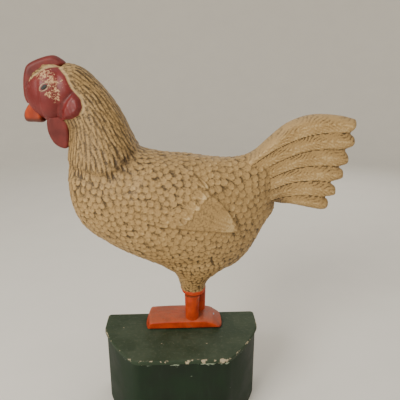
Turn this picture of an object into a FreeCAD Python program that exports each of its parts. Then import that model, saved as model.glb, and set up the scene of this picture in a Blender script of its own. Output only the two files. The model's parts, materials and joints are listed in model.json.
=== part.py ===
import FreeCAD, Part
import math
import os
import Sketcher
from FreeCAD import Rotation, Vector

# Wind-up hopping chicken: a hollow hen on two legs and a foot block, standing
# on a plinth that holds the clockwork.  Millimetres.  The origin is on the
# resting face, straight below the hen's middle plane; the hen faces -X, its
# left side is -Y and +Z is up.  The plinth's straight back is at +Y, with the
# winding key and the stop knob.

doc = FreeCAD.newDocument("hopping_chicken")
sheet = doc.addObject("Spreadsheet::Sheet", "Sizes")

SIZES = (
    # plinth
    ("plinth_wide", 148, "top board, side to side"),
    ("front_at", -61, "front edge of the top board"),
    ("back_at", 16, "back edge of the top board"),
    ("plinth_high", 77, "top of the plinth"),
    ("board_thick", 3.5, "top board"),
    ("overhang", 1.75, "top board beyond the case"),
    ("wall", 4, "case wall"),
    ("base_thick", 3, "bottom board"),
    ("bow_radius", 131.5, "bowed front corners of the top board"),
    ("bow_centre_x", 50, "centre of a bow, beyond the middle"),
    ("bow_centre_y", 34, "centre of a bow, behind the middle"),
    ("bow_soften", 12, "rounding at the ends of a bow"),
    ("back_soften", 3.5, "rounding of the back corners"),
    ("board_round", 1.2, "rounding of the top board's rim"),
    ("front_post_x", 32, "front corner posts, from the middle"),
    ("front_post_y", -52, "front corner posts"),
    ("front_post_half", 5, "half the width of a front post"),
    ("front_post_deep", 3, "half the depth of a front post"),
    ("back_post_x", 62, "back corner posts, from the middle"),
    ("back_post_y", 5.5, "back corner posts"),
    ("back_post_half", 4.5, "half the width of a back post"),
    ("post_tap", 9, "depth of the screw hole in a post"),
    # bird
    ("shell_thick", 4, "moulded shell of the bird"),
    ("hop_high", 8, "height of a hop"),
    ("leg_left_x", 10.5, "left leg"),
    ("leg_right_x", 17.5, "right leg"),
    ("leg_apart", 8, "each leg from the middle plane"),
    ("leg_thick_top", 7, "leg radius under the thigh"),
    ("leg_thick_foot", 6.2, "leg radius at the foot"),
    ("leg_top", 111.5, "top of a leg, against the thigh"),
    ("leg_foot", 82, "bottom of a leg, let into the block"),
    ("bolt_thick", 2, "leg bolt radius"),
    ("bolt_reach", 18, "leg bolt above the leg"),
    ("bolt_head", 2.5, "height of a leg bolt's head"),
    ("block_gap", 0.2, "foot block above the plinth at rest"),
    ("block_half", 15, "half the foot block's depth"),
    ("block_bevel", 2.5, "bevel along the foot block"),
    ("toe_x", -34.5, "front end of the foot block"),
    ("toe_top_x", -31, "front end of the foot block's top"),
    ("toe_high", 87, "height of the foot block at the front"),
    ("flat_front_x", -12, "front end of the foot block's flat top"),
    ("flat_rear_x", 22, "rear end of the foot block's flat top"),
    ("flat_high", 88, "flat top of the foot block"),
    ("slope_x", 30, "start of the foot block's rear slope"),
    ("slope_high", 86, "height there"),
    ("heel_x", 39.5, "rear end of the foot block"),
    ("heel_high", 79, "height of the foot block at the rear"),
    ("wattle_apart", 6.3, "each wattle from the middle plane"),
    ("wattle_thick", 4.4, "thickness of a wattle"),
    ("comb_half", 5, "half the comb's thickness"),
    ("root_half", 1.5, "half the thickness of the comb's root"),
    ("tail_half", 20, "half the tail's thickness, before it is tapered"),
    # lift
    ("rod_thick", 2.5, "lift rod radius"),
    ("rod_front_x", -18, "front lift rod"),
    ("rod_rear_x", 30, "rear lift rod"),
    ("rod_top", 85, "top of a lift rod, in the foot block"),
    ("bush_thick", 4.5, "lift rod bush, outer radius"),
    ("bush_foot", 68, "underside of a bush"),
    ("running", 0.05, "radial clearance of a running fit"),
    ("cross_low", 44, "underside of the crosshead at rest"),
    ("cross_high", 8, "height of the crosshead"),
    ("cross_half", 3.5, "half the crosshead's depth"),
    ("cross_reach", 6, "crosshead beyond each rod"),
    ("pin_thick", 3, "follower pin radius"),
    ("pin_front", -10.8, "front end of the follower pin"),
    ("nut_high", 3.2, "height of a rod nut"),
    # cam
    ("cam_x", 6, "cam arbor, across"),
    ("cam_z", 34, "cam arbor, height"),
    ("cam_front", -10.5, "front face of the cam"),
    ("cam_thick", 6, "thickness of the cam"),
    ("lift_turn", 300, "turn of the cam that lifts the bird"),
    # movement
    ("plate_front", -47.5, "front face of the front plate"),
    ("plate_back", -15, "back face of the back plate"),
    ("plate_thick", 1.5, "movement plates"),
    ("plate_left", -44, "movement plates, left edge"),
    ("plate_right", 43, "movement plates, right edge"),
    ("plate_low", 6, "movement plates, lower edge"),
    ("plate_high", 64, "movement plates, upper edge"),
    ("flange_half", 20, "half the width of a plate's foot"),
    ("flange_deep", 7, "reach of a plate's foot"),
    ("foot_screw_x", 14, "screws of a plate's foot, from the middle"),
    ("front_foot_y", -50.5, "screws of the front plate's foot"),
    ("back_foot_y", -11.5, "screws of the back plate's foot"),
    ("pillar_thick", 3, "pillar radius"),
    ("screw_thick", 1.5, "small screw shank radius"),
    ("head_thick", 3, "small screw head radius"),
    ("head_high", 1.2, "small screw head height"),
    ("pillar_tap", 6, "depth of the screw holes in a pillar"),
    # train
    ("great_teeth", 54, "great wheel"),
    ("cam_pinion_teeth", 12, "pinion on the cam arbor"),
    ("great_module", 0.8, "great wheel and cam pinion"),
    ("cam_wheel_teeth", 48, "wheel on the cam arbor"),
    ("middle_pinion_teeth", 10, "pinion on the middle arbor"),
    ("cam_module", 0.6, "cam wheel and middle pinion"),
    ("middle_teeth", 36, "wheel on the middle arbor"),
    ("fly_pinion_teeth", 8, "pinion on the fly arbor"),
    ("middle_module", 0.5, "middle wheel and fly pinion"),
    ("middle_angle", 20, "middle arbor, seen from the cam arbor"),
    ("fly_angle", -30, "fly arbor, seen from the middle arbor"),
    ("wheel_thick", 1.6, "train wheels"),
    ("backlash", 0.12, "tooth play, along the pitch circle"),
    ("winding_thick", 3, "winding arbor radius"),
    ("cam_arbor_thick", 2.5, "cam arbor radius"),
    ("middle_arbor_thick", 1.25, "middle arbor radius"),
    ("fly_arbor_thick", 1, "fly arbor radius"),
    ("cam_pivot", 1.5, "pivot radius of the cam arbor"),
    ("middle_pivot", 0.8, "pivot radius of the middle arbor"),
    ("fly_pivot", 0.6, "pivot radius of the fly arbor"),
    ("pivot_reach", 0.5, "pivot beyond its plate"),
    ("end_play", 0.2, "arbor short of a plate"),
    ("great_front", -21, "front face of the great wheel"),
    ("cam_pinion_front", -22.4, "front end of the cam pinion"),
    ("cam_pinion_back", -18, "back end of the cam pinion"),
    ("cam_arbor_back", -4.2, "back end of the cam arbor"),
    ("cam_wheel_front", -42.6, "front face of the cam wheel"),
    ("middle_pinion_front", -44, "front end of the middle pinion"),
    ("middle_pinion_back", -40, "back end of the middle pinion"),
    ("middle_front", -36, "front face of the middle wheel"),
    ("fly_pinion_front", -37.5, "front end of the fly pinion"),
    ("fly_pinion_back", -33, "back end of the fly pinion"),
    ("ratchet_teeth", 24, "ratchet wheel"),
    ("ratchet_tip", 8.5, "ratchet tip radius"),
    ("ratchet_root", 7.2, "ratchet root radius"),
    ("ratchet_front", -23.6, "front face of the ratchet and its click"),
    ("ratchet_back", -21.6, "back face of the ratchet and its click"),
    ("leaf_front", -23.4, "front edge of the click spring"),
    ("leaf_back", -22.2, "back edge of the click spring"),
    ("stud_thick", 1, "radius of the click's pivot and of the spring's stud"),
    ("pivot_front", -24.2, "front end of the click's pivot"),
    ("spring_front", -38, "front edge of the mainspring"),
    ("post_thick", 1.5, "radius of the mainspring's post"),
    ("spring_thick", 0.5, "mainspring strip"),
    ("spring_wide", 12, "mainspring width"),
    ("spring_pitch", 1.4, "mainspring coil spacing"),
    ("spring_inner", 3.8, "mainspring inner coil"),
    ("spring_halves", 20, "mainspring half turns"),
    ("vane_reach", 8.5, "fly vane radius"),
    ("vane_long", 10, "fly vane along its arbor"),
    ("vane_front", -30, "front edge of the fly vane"),
    ("vane_thick", 0.8, "thickness of the fly vane"),
    ("vane_hub", 2, "radius of the fly vane's hub"),
    # controls on the back
    ("key_reach", 16, "half the key's width"),
    ("key_hub", 4.5, "key hub radius"),
    ("key_near", 17, "key, nearest the case"),
    ("key_far", 42, "key, outer end"),
    ("key_lobe", 8, "radius of a lobe of the key"),
    ("key_eye", 3.3, "radius of the eye in a lobe"),
    ("key_half", 1.5, "half the thickness of the key's wings"),
    ("key_web", 3, "half the width of the web between the lobes"),
    ("stop_x", 36.5, "stop rod, across"),
    ("stop_z", 29.9, "stop rod, height"),
    ("stop_thick", 1.5, "stop rod radius"),
    ("stop_travel", 6, "stop knob travel"),
    ("knob_thick", 5, "stop knob radius"),
    ("knob_neck", 22, "stop knob's neck, nearest the case"),
    ("knob_near", 23.5, "front face of the stop knob"),
    ("knob_far", 33, "back face of the stop knob"),
    ("stop_tip", -19, "inner end of the stop rod at rest"),
    ("stop_end", 30, "outer end of the stop rod, in its knob"),
)
for row, (alias, value, note) in enumerate(SIZES, 1):
    sheet.set("A%d" % row, note)
    sheet.set("B%d" % row, str(value))
    sheet.setAlias("B%d" % row, alias)
doc.recompute()

ALIASES = [alias for alias, value, note in SIZES]
size = {alias: float(sheet.get(alias)) for alias in ALIASES}
pieces = []


# ---------------------------------------------------------------- helpers

def linked(text):
    """Write an expression on sheet aliases the way a property wants it."""
    words = text.split(" ")
    return " ".join("Sizes." + word if word in ALIASES else word for word in words)


def worth(text):
    """The number that an expression on sheet aliases comes to."""
    return float(sheet.evalExpression(linked(text)))


def bind(thing, **properties):
    for name, text in properties.items():
        thing.setExpression(name, linked(text))
    return thing


def put(thing, x="0", y="0", z="0"):
    for axis, text in (("x", x), ("y", y), ("z", z)):
        thing.setExpression("Placement.Base." + axis, linked(text))
    return thing


def finished(thing, label):
    thing.Label = label
    pieces.append(thing)
    return thing


def shaped(label, shape):
    """A sub-part whose form only a loft, a spiral or a tooth curve can give."""
    thing = doc.addObject("Part::Feature", "Form_" + label)
    thing.Shape = shape
    thing.Placement = FreeCAD.Placement()
    return finished(thing, label)


def upright(name, radius, low, high, x="0", y="0"):
    """A cylinder along Z."""
    thing = doc.addObject("Part::Cylinder", name)
    bind(thing, Radius=radius, Height="( %s ) - ( %s )" % (high, low))
    return put(thing, x, y, low)


def across(name, radius, near, far, x, z):
    """A cylinder along Y, from near to far."""
    thing = doc.addObject("Part::Cylinder", name)
    thing.Placement = FreeCAD.Placement(Vector(), Rotation(Vector(1, 0, 0), -90))
    bind(thing, Radius=radius, Height="( %s ) - ( %s )" % (far, near))
    return put(thing, x, near, z)


def block(name, x0, x1, y0, y1, z0, z1):
    thing = doc.addObject("Part::Box", name)
    bind(thing, Length="( %s ) - ( %s )" % (x1, x0), Width="( %s ) - ( %s )" % (y1, y0),
         Height="( %s ) - ( %s )" % (z1, z0))
    return put(thing, x0, y0, z0)


def fused(name, *things):
    whole = doc.addObject("Part::MultiFuse", name)
    whole.Shapes = list(things)
    whole.Refine = True
    return whole


def grouped(name, things):
    """Separate solids in one sub-part, such as a set of screws."""
    whole = doc.addObject("Part::Compound", name)
    whole.Links = list(things)
    return whole


def cut(name, base, tool):
    result = doc.addObject("Part::Cut", name)
    result.Base, result.Tool = base, tool
    return result


def drilled(name, base, *holes):
    """Take all the holes out of the base in one cut."""
    tool = holes[0] if len(holes) == 1 else fused(name + "_holes", *holes)
    return cut(name, base, tool)


def body_with_sketch(name, role, offset="0"):
    """A body and a sketch on one of its origin planes, moved along its normal."""
    body = doc.addObject("PartDesign::Body", name)
    plane = [f for f in body.Origin.OriginFeatures if f.Role == role][0]
    sketch = body.newObject("Sketcher::SketchObject", name + "_sketch")
    sketch.AttachmentSupport = (plane, "")
    sketch.MapMode = "FlatFace"
    sketch.setExpression("AttachmentOffset.Base.z", linked(offset))
    return body, sketch


def pin_point(sketch, geometry, end, across_text, up_text):
    """Tie a sketch point to two expressions, measured from the origin."""
    for kind, axis, text in (("DistanceX", -2, across_text), ("DistanceY", -1, up_text)):
        distance = worth(text)
        if abs(distance) < 1e-9:
            sketch.addConstraint(Sketcher.Constraint("PointOnObject", geometry, end, axis))
        else:
            number = sketch.addConstraint(
                Sketcher.Constraint(kind, -1, 1, geometry, end, distance))
            sketch.setExpression("Constraints[%d]" % number, linked(text))


def draw_polygon(sketch, corners):
    """Close a line loop through corners that are pairs of expressions."""
    points = [Vector(worth(a), worth(b), 0) for a, b in corners]
    lines = [Part.LineSegment(p, q) for p, q in zip(points, points[1:] + points[:1])]
    first = sketch.GeometryCount
    sketch.addGeometry(lines, False)
    count = len(corners)
    for number in range(count):
        follower = first + (number + 1) % count
        sketch.addConstraint(Sketcher.Constraint(
            "Coincident", first + number, 2, follower, 1))
        pin_point(sketch, first + number, 1, *corners[number])


def draw_circle(sketch, across_text, up_text, radius):
    centre = Vector(worth(across_text), worth(up_text), 0)
    ring = sketch.addGeometry(Part.Circle(centre, Vector(0, 0, 1), worth(radius)), False)
    number = sketch.addConstraint(Sketcher.Constraint("Radius", ring, worth(radius)))
    sketch.setExpression("Constraints[%d]" % number, linked(radius))
    pin_point(sketch, ring, 3, across_text, up_text)


def pad(body, sketch, length, reverse=False):
    feature = body.newObject("PartDesign::Pad", body.Name + "_pad")
    feature.Profile = sketch
    feature.Reversed = reverse
    bind(feature, Length=length)
    doc.recompute()
    return feature


def picked(feature, chosen):
    """The edges of a feature that pass a test, as a property wants them."""
    return (feature, ["Edge%d" % number for number, edge
                      in enumerate(feature.Shape.Edges, 1) if chosen(edge)])


def soften(body, feature, radius, chosen):
    fillet = body.newObject("PartDesign::Fillet", body.Name + "_round%d" % len(body.Group))
    fillet.Base = picked(feature, chosen)
    bind(fillet, Radius=radius)
    doc.recompute()
    return fillet


def bevelled(body, feature, width, chosen):
    chamfer = body.newObject("PartDesign::Chamfer", body.Name + "_bevel")
    chamfer.Base = picked(feature, chosen)
    bind(chamfer, Size=width)
    doc.recompute()
    return chamfer


def is_upright(edge):
    if not isinstance(edge.Curve, Part.Line):
        return False
    return abs(edge.Curve.Direction.z) > 0.999


# ---------------------------------------------------------------- plinth

def bow_points(inset):
    """Where a bowed corner meets the side and the front, for an inset outline."""
    radius = size["bow_radius"] - inset
    side = size["plinth_wide"] / 2 - inset
    front = size["front_at"] + inset
    cx, cy = -size["bow_centre_x"], size["bow_centre_y"]
    side_y = cy - math.sqrt(radius ** 2 - (side - cx) ** 2)
    front_x = cx + math.sqrt(radius ** 2 - (front - cy) ** 2)
    turn = (math.atan2(side_y - cy, side - cx) + math.atan2(front - cy, front_x - cx)) / 2
    middle = (cx + radius * math.cos(turn), cy + radius * math.sin(turn))
    return (side, side_y), middle, (front_x, front)


def plinth_outline(inset):
    """The plinth's outline: straight back and front, bowed corners."""
    side, middle, front = bow_points(inset)
    corners = ((side[0], size["back_at"] - inset), side, front)
    left = [Vector(-x, y, 0) for x, y in corners]
    right = [Vector(x, y, 0) for x, y in corners]
    return [Part.LineSegment(left[0], right[0]), Part.LineSegment(right[0], right[1]),
            Part.Arc(right[1], Vector(middle[0], middle[1], 0), right[2]),
            Part.LineSegment(right[2], left[2]),
            Part.Arc(left[2], Vector(-middle[0], middle[1], 0), left[1]),
            Part.LineSegment(left[1], left[0])]


def plinth_body(name, inset, low, high, rounded=True):
    """A slab of the plinth's outline, with or without rounded corners."""
    gap = worth(inset)
    body, sketch = body_with_sketch(name, "XY_Plane", low)
    sketch.addGeometry(plinth_outline(gap), False)
    doc.recompute()
    feature = pad(body, sketch, "( %s ) - ( %s )" % (high, low))
    if rounded:
        near_back = size["back_at"] - gap - 1
        near_side = size["plinth_wide"] / 2 - gap - 1
        feature = soften(body, feature, "bow_soften", lambda e: is_upright(e)
                         and e.Vertexes[0].Y < near_back)
        feature = soften(body, feature, "back_soften", lambda e: is_upright(e)
                         and e.Vertexes[0].Y > near_back
                         and abs(e.Vertexes[0].X) > near_side)
    return body, feature


def hollow(body, low, high, inset):
    """Clear the inside of the case, right through."""
    name = body.Name + "_inside"
    plane = [f for f in body.Origin.OriginFeatures if f.Role == "XY_Plane"][0]
    sketch = body.newObject("Sketcher::SketchObject", name)
    sketch.AttachmentSupport = (plane, "")
    sketch.MapMode = "FlatFace"
    bind(sketch, **{"AttachmentOffset.Base.z": low})
    sketch.addGeometry(plinth_outline(worth(inset)), False)
    doc.recompute()
    pocket = body.newObject("PartDesign::Pocket", name + "_pocket")
    pocket.Profile = sketch
    pocket.Reversed = True
    bind(pocket, Length="( %s ) - ( %s )" % (high, low))
    doc.recompute()
    return pocket


CASE_TOP = "plinth_high - board_thick"
CASE_BACK = "back_at - overhang"
CASE_INSIDE = "back_at - overhang - wall"


def make_plinth():
    top, feature = plinth_body("Board", "0", CASE_TOP, "plinth_high")
    rim = [e for e in feature.Shape.Edges if abs(e.BoundBox.ZMin - size["plinth_high"]) < 0.01]
    feature = soften(top, feature, "board_round",
                     lambda e: any(e.isSame(other) for other in rim))
    rods = [upright("Board_hole_%d" % n, "bush_thick", CASE_TOP, "plinth_high", x)
            for n, x in enumerate(("rod_front_x", "rod_rear_x"), 1)]
    finished(drilled("Top_board", top, *rods), "plinth_top")

    case, feature = plinth_body("Case", "overhang", "0", CASE_TOP)
    hollow(case, "0", CASE_TOP, "overhang + wall")
    holes = (across("Case_key_hole", "winding_thick + 2", CASE_INSIDE, CASE_BACK,
                    great_x, "cam_z"),
             across("Case_stop_hole", "stop_thick + 2", CASE_INSIDE, CASE_BACK,
                    "stop_x", "stop_z"))
    finished(drilled("Plinth_case", case, *holes), "plinth_case")

    base, feature = plinth_body("Base", "overhang + wall", "0", "base_thick", False)
    screws = [("0 - front_post_x", "front_post_y"), ("front_post_x", "front_post_y"),
              ("0 - back_post_x", "back_post_y"), ("back_post_x", "back_post_y")]
    screws += [(x, y) for x in ("0 - foot_screw_x", "foot_screw_x")
               for y in ("front_foot_y", "back_foot_y")]
    holes = [upright("Base_hole_%d" % n, "screw_thick", "0", "base_thick", x, y)
             for n, (x, y) in enumerate(screws, 1)]
    heads = [upright("Base_seat_%d" % n, "head_thick", "0", "head_high", x, y)
             for n, (x, y) in enumerate(screws, 1)]
    finished(drilled("Bottom_board", base, *holes, *heads), "plinth_bottom")

    def base_screw(n, x, y, reach):
        shank = upright("Base_screw_%d" % n, "screw_thick", "0", reach, x, y)
        head = upright("Base_head_%d" % n, "head_thick", "0", "head_high", x, y)
        return fused("Base_screw_whole_%d" % n, shank, head)

    posts = []
    halves = [("front_post_half", "front_post_deep")] * 2
    halves += [("back_post_half", "back_post_half")] * 2
    for n, ((x, y), (half, deep)) in enumerate(zip(screws, halves), 1):
        post = block("Post_%d" % n, x + " - " + half, x + " + " + half,
                     y + " - " + deep, y + " + " + deep, "base_thick", CASE_TOP)
        hole = upright("Post_hole_%d" % n, "screw_thick", "base_thick",
                       "base_thick + post_tap", x, y)
        posts.append(cut("Post_drilled_%d" % n, post, hole))
    finished(grouped("Corner_posts", posts), "corner_posts")
    finished(grouped("Board_screws", [base_screw(n, x, y, "base_thick + post_tap")
             for n, (x, y) in enumerate(screws[:4], 1)]), "bottom_screws")
    finished(grouped("Plate_screws", [base_screw(n, x, y, "base_thick + plate_thick")
             for n, (x, y) in enumerate(screws[4:], 5)]), "movement_screws")

    bushes = []
    for n, x in enumerate(("rod_front_x", "rod_rear_x"), 1):
        sleeve = upright("Bush_%d" % n, "bush_thick", "bush_foot", "plinth_high", x)
        flange = upright("Bush_flange_%d" % n, "bush_thick + 2.5",
                         CASE_TOP + " - 1.5", CASE_TOP, x)
        bore = upright("Bush_bore_%d" % n, "rod_thick + running", "bush_foot",
                       "plinth_high", x)
        bushes.append(cut("Rod_bush_%d" % n, fused("Bush_blank_%d" % n, sleeve, flange), bore))
    finished(grouped("Rod_bushes", bushes), "rod_bushes")
    for label, name, inner, x, z in (("key_bush", "Key_bush", "winding_thick", great_x, "cam_z"),
                                     ("stop_bush", "Stop_bush", "stop_thick",
                                      "stop_x", "stop_z")):
        sleeve = across(name + "_sleeve", inner + " + 2", CASE_INSIDE, CASE_BACK + " + 1", x, z)
        flange = across(name + "_flange", inner + " + 4", CASE_BACK, CASE_BACK + " + 1", x, z)
        bore = across(name + "_bore", inner + " + running", CASE_INSIDE,
                      CASE_BACK + " + 1", x, z)
        finished(cut(name, fused(name + "_blank", sleeve, flange), bore), label)


# ---------------------------------------------------------------- movement

great_x = "cam_x - great_module * ( great_teeth + cam_pinion_teeth ) / 2"
middle_gap = "cam_module * ( cam_wheel_teeth + middle_pinion_teeth ) / 2"
fly_gap = "middle_module * ( middle_teeth + fly_pinion_teeth ) / 2"
middle_x = "cam_x + %s * cos( middle_angle * 1deg )" % middle_gap
middle_z = "cam_z + %s * sin( middle_angle * 1deg )" % middle_gap
fly_x = "%s + %s * cos( fly_angle * 1deg )" % (middle_x, fly_gap)
fly_z = "%s + %s * sin( fly_angle * 1deg )" % (middle_z, fly_gap)
great_at = (great_x, "cam_z")
cam_at = ("cam_x", "cam_z")
middle_at = (middle_x, middle_z)
fly_at = (fly_x, fly_z)


def make_plate(name, label, face, flange_from, flange_to, holes, screw_y):
    """One movement plate with its bent foot; face is its front face."""
    body, sketch = body_with_sketch(name, "XZ_Plane", "0 - ( %s )" % face)
    draw_polygon(sketch, (
        ("plate_left", "plate_low"), ("0 - flange_half", "plate_low"),
        ("0 - flange_half", "base_thick"), ("flange_half", "base_thick"),
        ("flange_half", "plate_low"), ("plate_right", "plate_low"),
        ("plate_right", "plate_high"), ("plate_left", "plate_high")))
    for x, z, radius in holes:
        draw_circle(sketch, x, z, radius)
    doc.recompute()
    pad(body, sketch, "plate_thick", True)
    foot = block(name + "_foot", "0 - flange_half", "flange_half", flange_from, flange_to,
                 "base_thick", "base_thick + plate_thick")
    taps = [upright("%s_tap_%d" % (name, n), "screw_thick", "base_thick",
                    "base_thick + plate_thick", x, screw_y)
            for n, x in enumerate(("0 - foot_screw_x", "foot_screw_x"))]
    whole = fused(name + "_whole", body, drilled(name + "_foot_drilled", foot, *taps))
    finished(whole, label)


PILLARS = [(x, z) for x in ("plate_left + 5", "plate_right - 5")
           for z in ("plate_low + 5", "plate_high - 5")]
INNER_FRONT = "plate_front + plate_thick"
INNER_BACK = "plate_back - plate_thick"


def make_movement_frame():
    corners = [(x, z, "screw_thick") for x, z in PILLARS]
    light_holes = [middle_at + ("middle_pivot + running",), fly_at + ("fly_pivot + running",)]
    front_holes = [great_at + ("winding_thick - 1 + running",),
                   cam_at + ("cam_pivot + running",)] + light_holes
    back_holes = [great_at + ("winding_thick + running",),
                  cam_at + ("cam_arbor_thick + running",),
                  ("stop_x", "stop_z", "stop_thick + running")] + light_holes
    make_plate("Front_plate", "front_plate", "plate_front", "plate_front - flange_deep",
               "plate_front", corners + front_holes, "front_foot_y")
    make_plate("Back_plate", "back_plate", INNER_BACK, "plate_back",
               "plate_back + flange_deep", corners + back_holes, "back_foot_y")
    pillars, screws = [], []
    for n, (x, z) in enumerate(PILLARS, 1):
        post = across("Pillar_%d" % n, "pillar_thick", INNER_FRONT, INNER_BACK, x, z)
        taps = [across("Pillar_tap_front_%d" % n, "screw_thick", INNER_FRONT,
                       INNER_FRONT + " + pillar_tap", x, z),
                across("Pillar_tap_back_%d" % n, "screw_thick",
                       INNER_BACK + " - pillar_tap", INNER_BACK, x, z)]
        pillars.append(drilled("Pillar_drilled_%d" % n, post, *taps))
        screws.append(fused("Pillar_screw_front_%d" % n,
                            across("Front_shank_%d" % n, "screw_thick", "plate_front",
                                   INNER_FRONT + " + pillar_tap", x, z),
                            across("Front_head_%d" % n, "head_thick",
                                   "plate_front - head_high", "plate_front", x, z)))
        screws.append(fused("Pillar_screw_back_%d" % n,
                            across("Back_shank_%d" % n, "screw_thick",
                                   INNER_BACK + " - pillar_tap", "plate_back", x, z),
                            across("Back_head_%d" % n, "head_thick", "plate_back",
                                   "plate_back + head_high", x, z)))
    finished(grouped("Pillars", pillars), "pillars")
    finished(grouped("Pillar_screws", screws), "pillar_screws")


# ---------------------------------------------------------------- train

PRESSURE = math.radians(20)

# The click's pivot and its spring's stud, both in the great wheel, as (x, z)
# from the wheel's centre.
CLICK_AT = (11.2, 10.4)
CLICK_STUD = (-3.5, 14.6)


def tooth_outline(teeth, module, addendum, phase):
    """An involute outline with radial flanks below the base circle."""
    pitch = module * teeth / 2
    base = pitch * math.cos(PRESSURE)
    root = pitch - 1.25 * module
    tip = pitch + addendum
    half = (math.pi * module - size["backlash"]) / (4 * pitch)

    def spread(radius):
        lean = math.acos(min(1, base / radius))
        return half + (math.tan(PRESSURE) - PRESSURE) - (math.tan(lean) - lean)

    start = max(base, root)
    radii = [start + (tip - start) * step / 3 for step in range(4)]
    if root < base:
        radii.insert(0, root)
    points = []
    for tooth in range(int(teeth)):
        centre = phase + 2 * math.pi * tooth / teeth
        flank = [(r, -spread(r)) for r in radii]
        flank += [(r, -turn) for r, turn in reversed(flank)]
        points += [(r * math.cos(centre + turn), r * math.sin(centre + turn))
                   for r, turn in flank]
    return points


def slab(outline, at, near, far, bore=0):
    """A flat piece parallel to the plates, from an outline about a centre."""
    x, z, y0, y1 = worth(at[0]), worth(at[1]), worth(near), worth(far)
    points = [Vector(x + px, y0, z + pz) for px, pz in outline]
    face = Part.Face(Part.makePolygon(points + points[:1]))
    solid = face.extrude(Vector(0, y1 - y0, 0))
    if bore:
        hole = Part.makeCylinder(bore, y1 - y0 + 2, Vector(x, y0 - 1, z), Vector(0, 1, 0))
        solid = solid.cut(hole)
    return solid


def mesh_pair(wheel_teeth, pinion_teeth, module, direction):
    """Outlines of a wheel and its pinion, in mesh along a direction."""
    wheel, pinion = size[wheel_teeth], size[pinion_teeth]
    pitch = size[module] * wheel / 2
    gap = size[module] * (wheel + pinion) / 2
    reach = math.hypot(pitch * math.cos(PRESSURE), gap * math.sin(PRESSURE)) - pitch
    wheel_outline = tooth_outline(wheel, size[module], 0.93 * reach, direction)
    pinion_outline = tooth_outline(pinion, size[module], size[module],
                                   direction + math.pi + math.pi / pinion)
    return wheel_outline, pinion_outline


def bare_form(name, shape):
    """A tooth form that a larger sub-part is fused from."""
    thing = doc.addObject("Part::Feature", name)
    thing.Shape = shape
    return thing


def make_train():
    great, cam_pinion = mesh_pair("great_teeth", "cam_pinion_teeth", "great_module", 0)
    cam_wheel, middle_pinion = mesh_pair("cam_wheel_teeth", "middle_pinion_teeth",
                                         "cam_module", math.radians(size["middle_angle"]))
    middle_wheel, fly_pinion = mesh_pair("middle_teeth", "fly_pinion_teeth",
                                         "middle_module", math.radians(size["fly_angle"]))
    wheel = slab(great, great_at, "great_front", "great_front + wheel_thick",
                 size["winding_thick"] + size["running"])
    for at in (CLICK_AT, CLICK_STUD):
        wheel = wheel.cut(click_bar(at, "ratchet_front"))
    shaped("great_wheel", wheel)

    def arbor(label, at, body_radius, pivot_radius, back_end, forms, back_pivot=True):
        bars = [across(label + "_bar", body_radius, INNER_FRONT + " + end_play", back_end, *at),
                across(label + "_front", pivot_radius, "plate_front - pivot_reach",
                       INNER_FRONT + " + end_play", *at)]
        if back_pivot:
            bars.append(across(label + "_back", pivot_radius, back_end,
                               "plate_back + pivot_reach", *at))
        return finished(fused("Whole_" + label, *bars, *forms), label)

    arbor("cam_arbor", cam_at, "cam_arbor_thick", "cam_pivot", "cam_arbor_back",
          [bare_form("Cam_pinion", slab(cam_pinion, cam_at, "cam_pinion_front",
                                        "cam_pinion_back"))], False)
    shaped("cam_wheel", slab(cam_wheel, cam_at, "cam_wheel_front",
                             "cam_wheel_front + wheel_thick", size["cam_arbor_thick"]))
    arbor("middle_arbor", middle_at, "middle_arbor_thick", "middle_pivot",
          INNER_BACK + " - end_play",
          [bare_form("Middle_pinion", slab(middle_pinion, middle_at, "middle_pinion_front",
                                           "middle_pinion_back"))])
    shaped("middle_wheel", slab(middle_wheel, middle_at, "middle_front",
                                "middle_front + wheel_thick", size["middle_arbor_thick"]))
    arbor("fly_arbor", fly_at, "fly_arbor_thick", "fly_pivot", INNER_BACK + " - end_play",
          [bare_form("Fly_pinion", slab(fly_pinion, fly_at, "fly_pinion_front",
                                        "fly_pinion_back"))])
    blade = block("Vane_blade", "0", "2 * vane_reach", "0", "vane_long", "0", "vane_thick")
    blade.Placement.Rotation = Rotation(Vector(0, 1, 0), -45)
    along = "vane_reach * cos( 45deg )"
    aside = "vane_thick / 2 * cos( 45deg )"
    put(blade, "%s - %s + %s" % (fly_x, along, aside), "vane_front",
        "%s - %s - %s" % (fly_z, along, aside))
    hub = across("Vane_hub", "vane_hub", "vane_front", "vane_front + vane_long", *fly_at)
    bore = across("Vane_bore", "fly_arbor_thick", "vane_front", "vane_front + vane_long",
                  *fly_at)
    finished(cut("Fly_vane", fused("Vane_blank", blade, hub), bore), "fly_vane")


def click_bar(at, front, radius=0):
    """A round bar from the front to the back face of the great wheel."""
    start = Vector(worth(great_x) + at[0], worth(front), size["cam_z"] + at[1])
    length = worth("great_front + wheel_thick") - start.y
    return Part.makeCylinder(radius or size["stud_thick"], length, start, Vector(0, 1, 0))


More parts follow.
